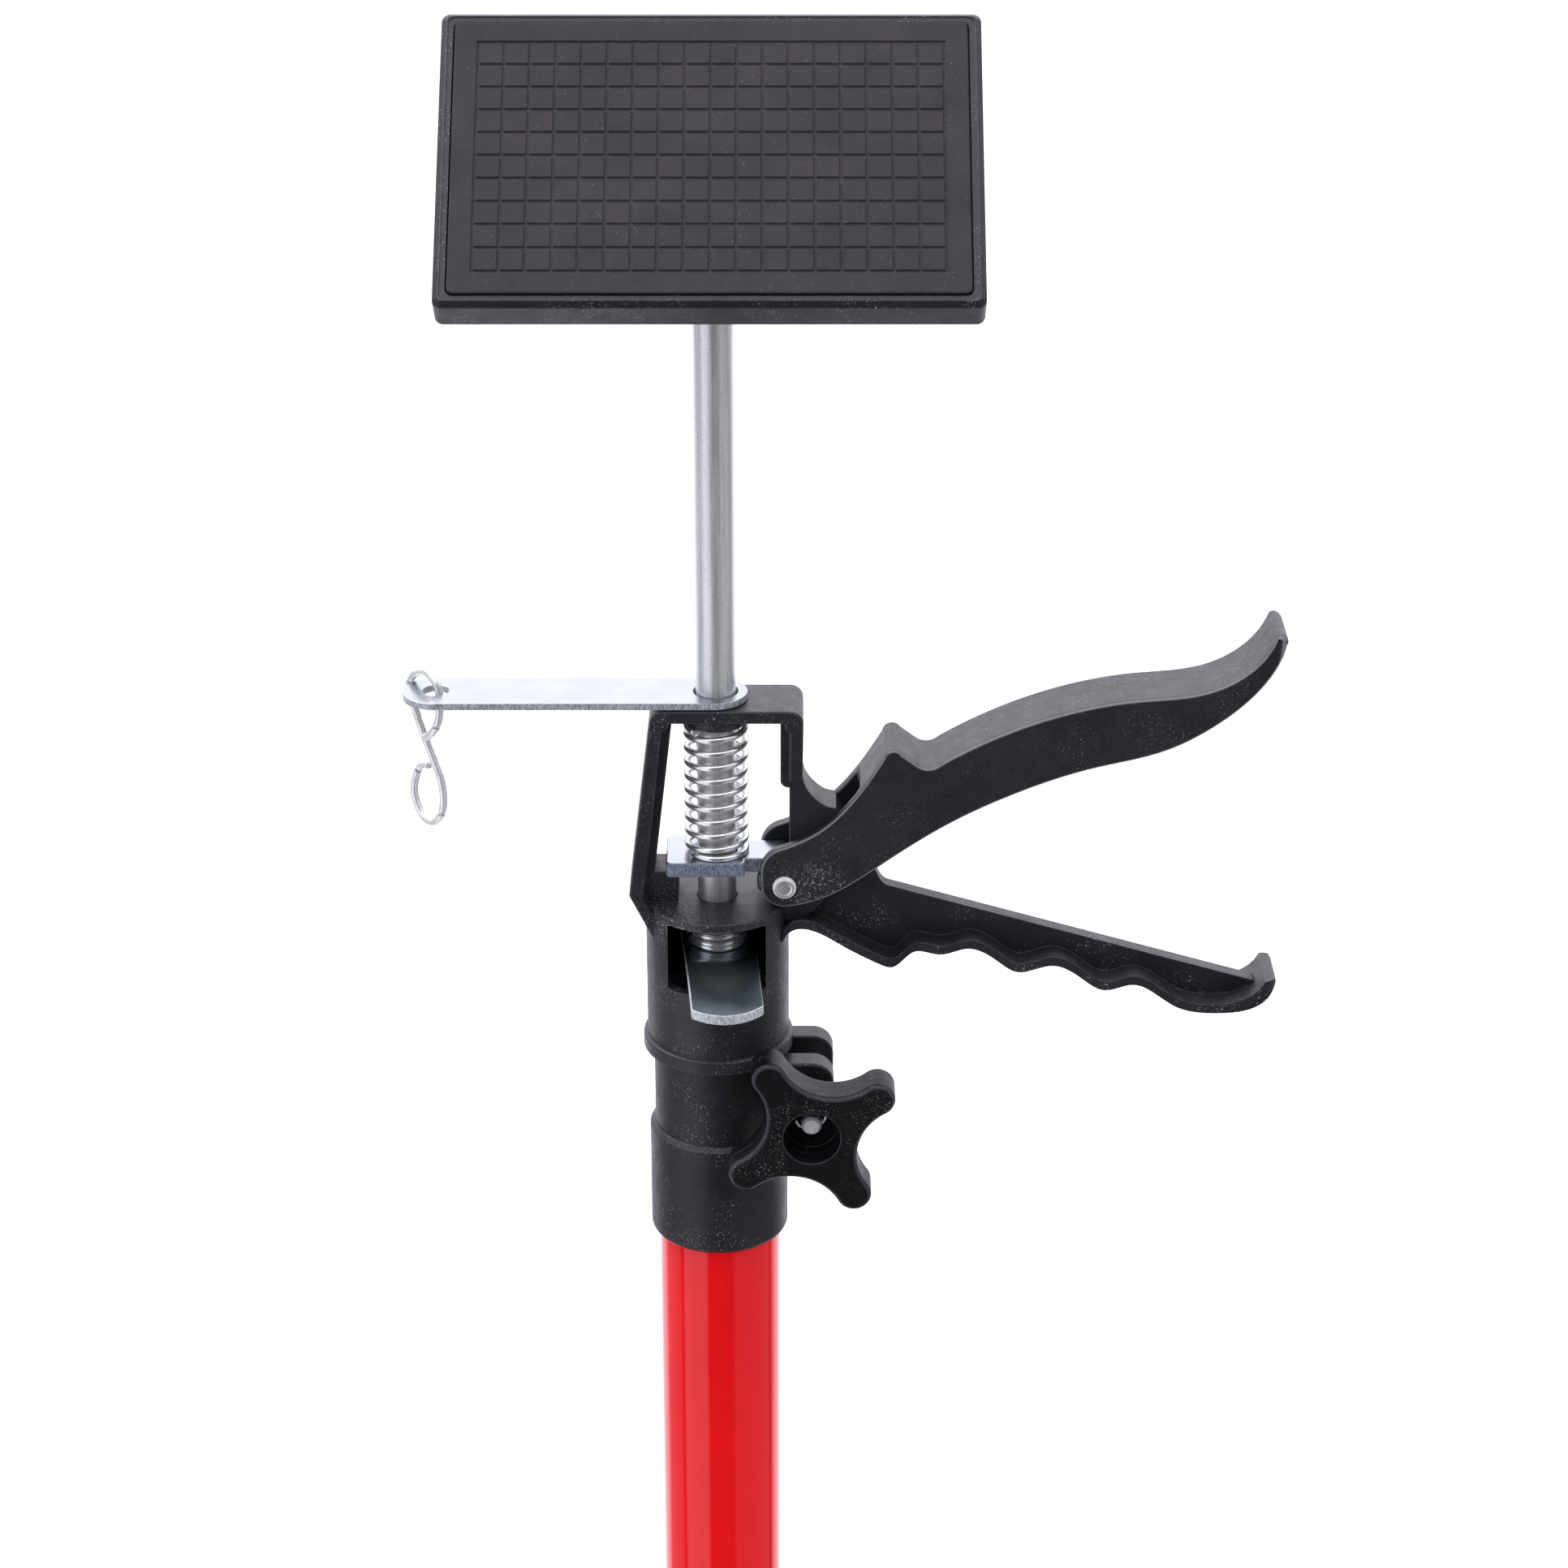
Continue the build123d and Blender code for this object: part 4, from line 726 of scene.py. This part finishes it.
def studio_world():
    """White room by direction: dim in front, strips at both sides, bright high up and behind.

    Seen straight, with no piece in between, it is plain white all round."""
    world = bpy.data.worlds.new("studio")
    bpy.context.scene.world = world
    world.use_nodes = True
    tree = world.node_tree
    tree.nodes.clear()
    output = tree.nodes.new("ShaderNodeOutputWorld")
    background = tree.nodes.new("ShaderNodeBackground")
    tree.links.new(background.outputs["Background"], output.inputs["Surface"])
    place = tree.nodes.new("ShaderNodeTexCoord")
    split = tree.nodes.new("ShaderNodeSeparateXYZ")
    tree.links.new(place.outputs["Generated"], split.inputs["Vector"])

    def step(operation, a, b=0.0):
        node = tree.nodes.new("ShaderNodeMath")
        node.operation = operation
        for socket, value in zip(node.inputs, (a, b)):
            if isinstance(value, bpy.types.NodeSocket):
                tree.links.new(value, socket)
            else:
                socket.default_value = value
        return node.outputs["Value"]

    def ramp(value, low, high, to_low=0.0, to_high=1.0):
        """A smooth step between two angles in degrees."""
        node = tree.nodes.new("ShaderNodeMapRange")
        node.interpolation_type = "SMOOTHSTEP"
        tree.links.new(value, node.inputs["Value"])
        limits = (math.radians(low), math.radians(high), to_low, to_high)
        for socket, number in zip(("From Min", "From Max", "To Min", "To Max"), limits):
            node.inputs[socket].default_value = number
        return node.outputs["Result"]

    bearing = step("ARCTAN2", split.outputs["X"], step("MULTIPLY", split.outputs["Y"], -1.0))
    rise = step("ARCSINE", split.outputs["Z"])
    aside = step("ABSOLUTE", bearing)
    glow = ramp(rise, *FRONT_RISE, FRONT_GLOW * 1.5, FRONT_GLOW)
    for start, end, strength in STRIPS:
        begins = ramp(bearing, start - STRIP_FADE, start + STRIP_FADE)
        ends = ramp(bearing, end - STRIP_FADE, end + STRIP_FADE, 1.0, 0.0)
        glow = step("ADD", glow, step("MULTIPLY", step("MULTIPLY", begins, ends), strength))
    glow = step("MAXIMUM", glow, ramp(aside, *BACK_LOW_BEARING, 0.0, BACK_LOW_GLOW))
    behind = step("MULTIPLY", ramp(aside, *BACK_BEARING, 0.0, BACK_GLOW), ramp(rise, *BACK_RISE))
    glow = step("MAXIMUM", step("MAXIMUM", glow, behind), ramp(rise, *ZENITH_RISE, 0.0, ZENITH_GLOW))
    seen = tree.nodes.new("ShaderNodeLightPath").outputs["Is Camera Ray"]
    glow = step("MAXIMUM", glow, step("MULTIPLY", seen, SEEN_GLOW))
    tree.links.new(glow, background.inputs["Strength"])
    background.inputs["Color"].default_value = (*ROOM_TINT, 1.0)


def soft_light(name, place, target, size, power):
    """A soft rectangular light that looks at a point."""
    light = bpy.data.lights.new(name, "AREA")
    light.shape = "RECTANGLE"
    light.size, light.size_y = size
    light.energy = power
    lamp = bpy.data.objects.new(name, light)
    lamp.location = place
    lamp.rotation_euler = (Vector(target) - Vector(place)).to_track_quat("-Z", "Y").to_euler()
    bpy.context.scene.collection.objects.link(lamp)


studio_world()
LIGHT_TARGET = (0.02, 0, 0.4)
soft_light("key_above_left", (-0.9, 0.35, 1.9), LIGHT_TARGET, size=(0.7, 0.7), power=18)
soft_light("fill_above_right", (1.3, -0.4, 1.6), LIGHT_TARGET, size=(1.0, 1.0), power=4)

camera_data = bpy.data.cameras.new("camera")
camera_data.lens = 89.44
camera_data.sensor_width = 36.0
camera_data.clip_start = 0.01
camera = bpy.data.objects.new("camera", camera_data)
camera.location = (0.0205, -1.07126, 0.91953)
camera.rotation_euler = (math.radians(65), 0, 0)
bpy.context.scene.collection.objects.link(camera)
bpy.context.scene.camera = camera
bpy.context.scene.view_settings.view_transform = "Standard"
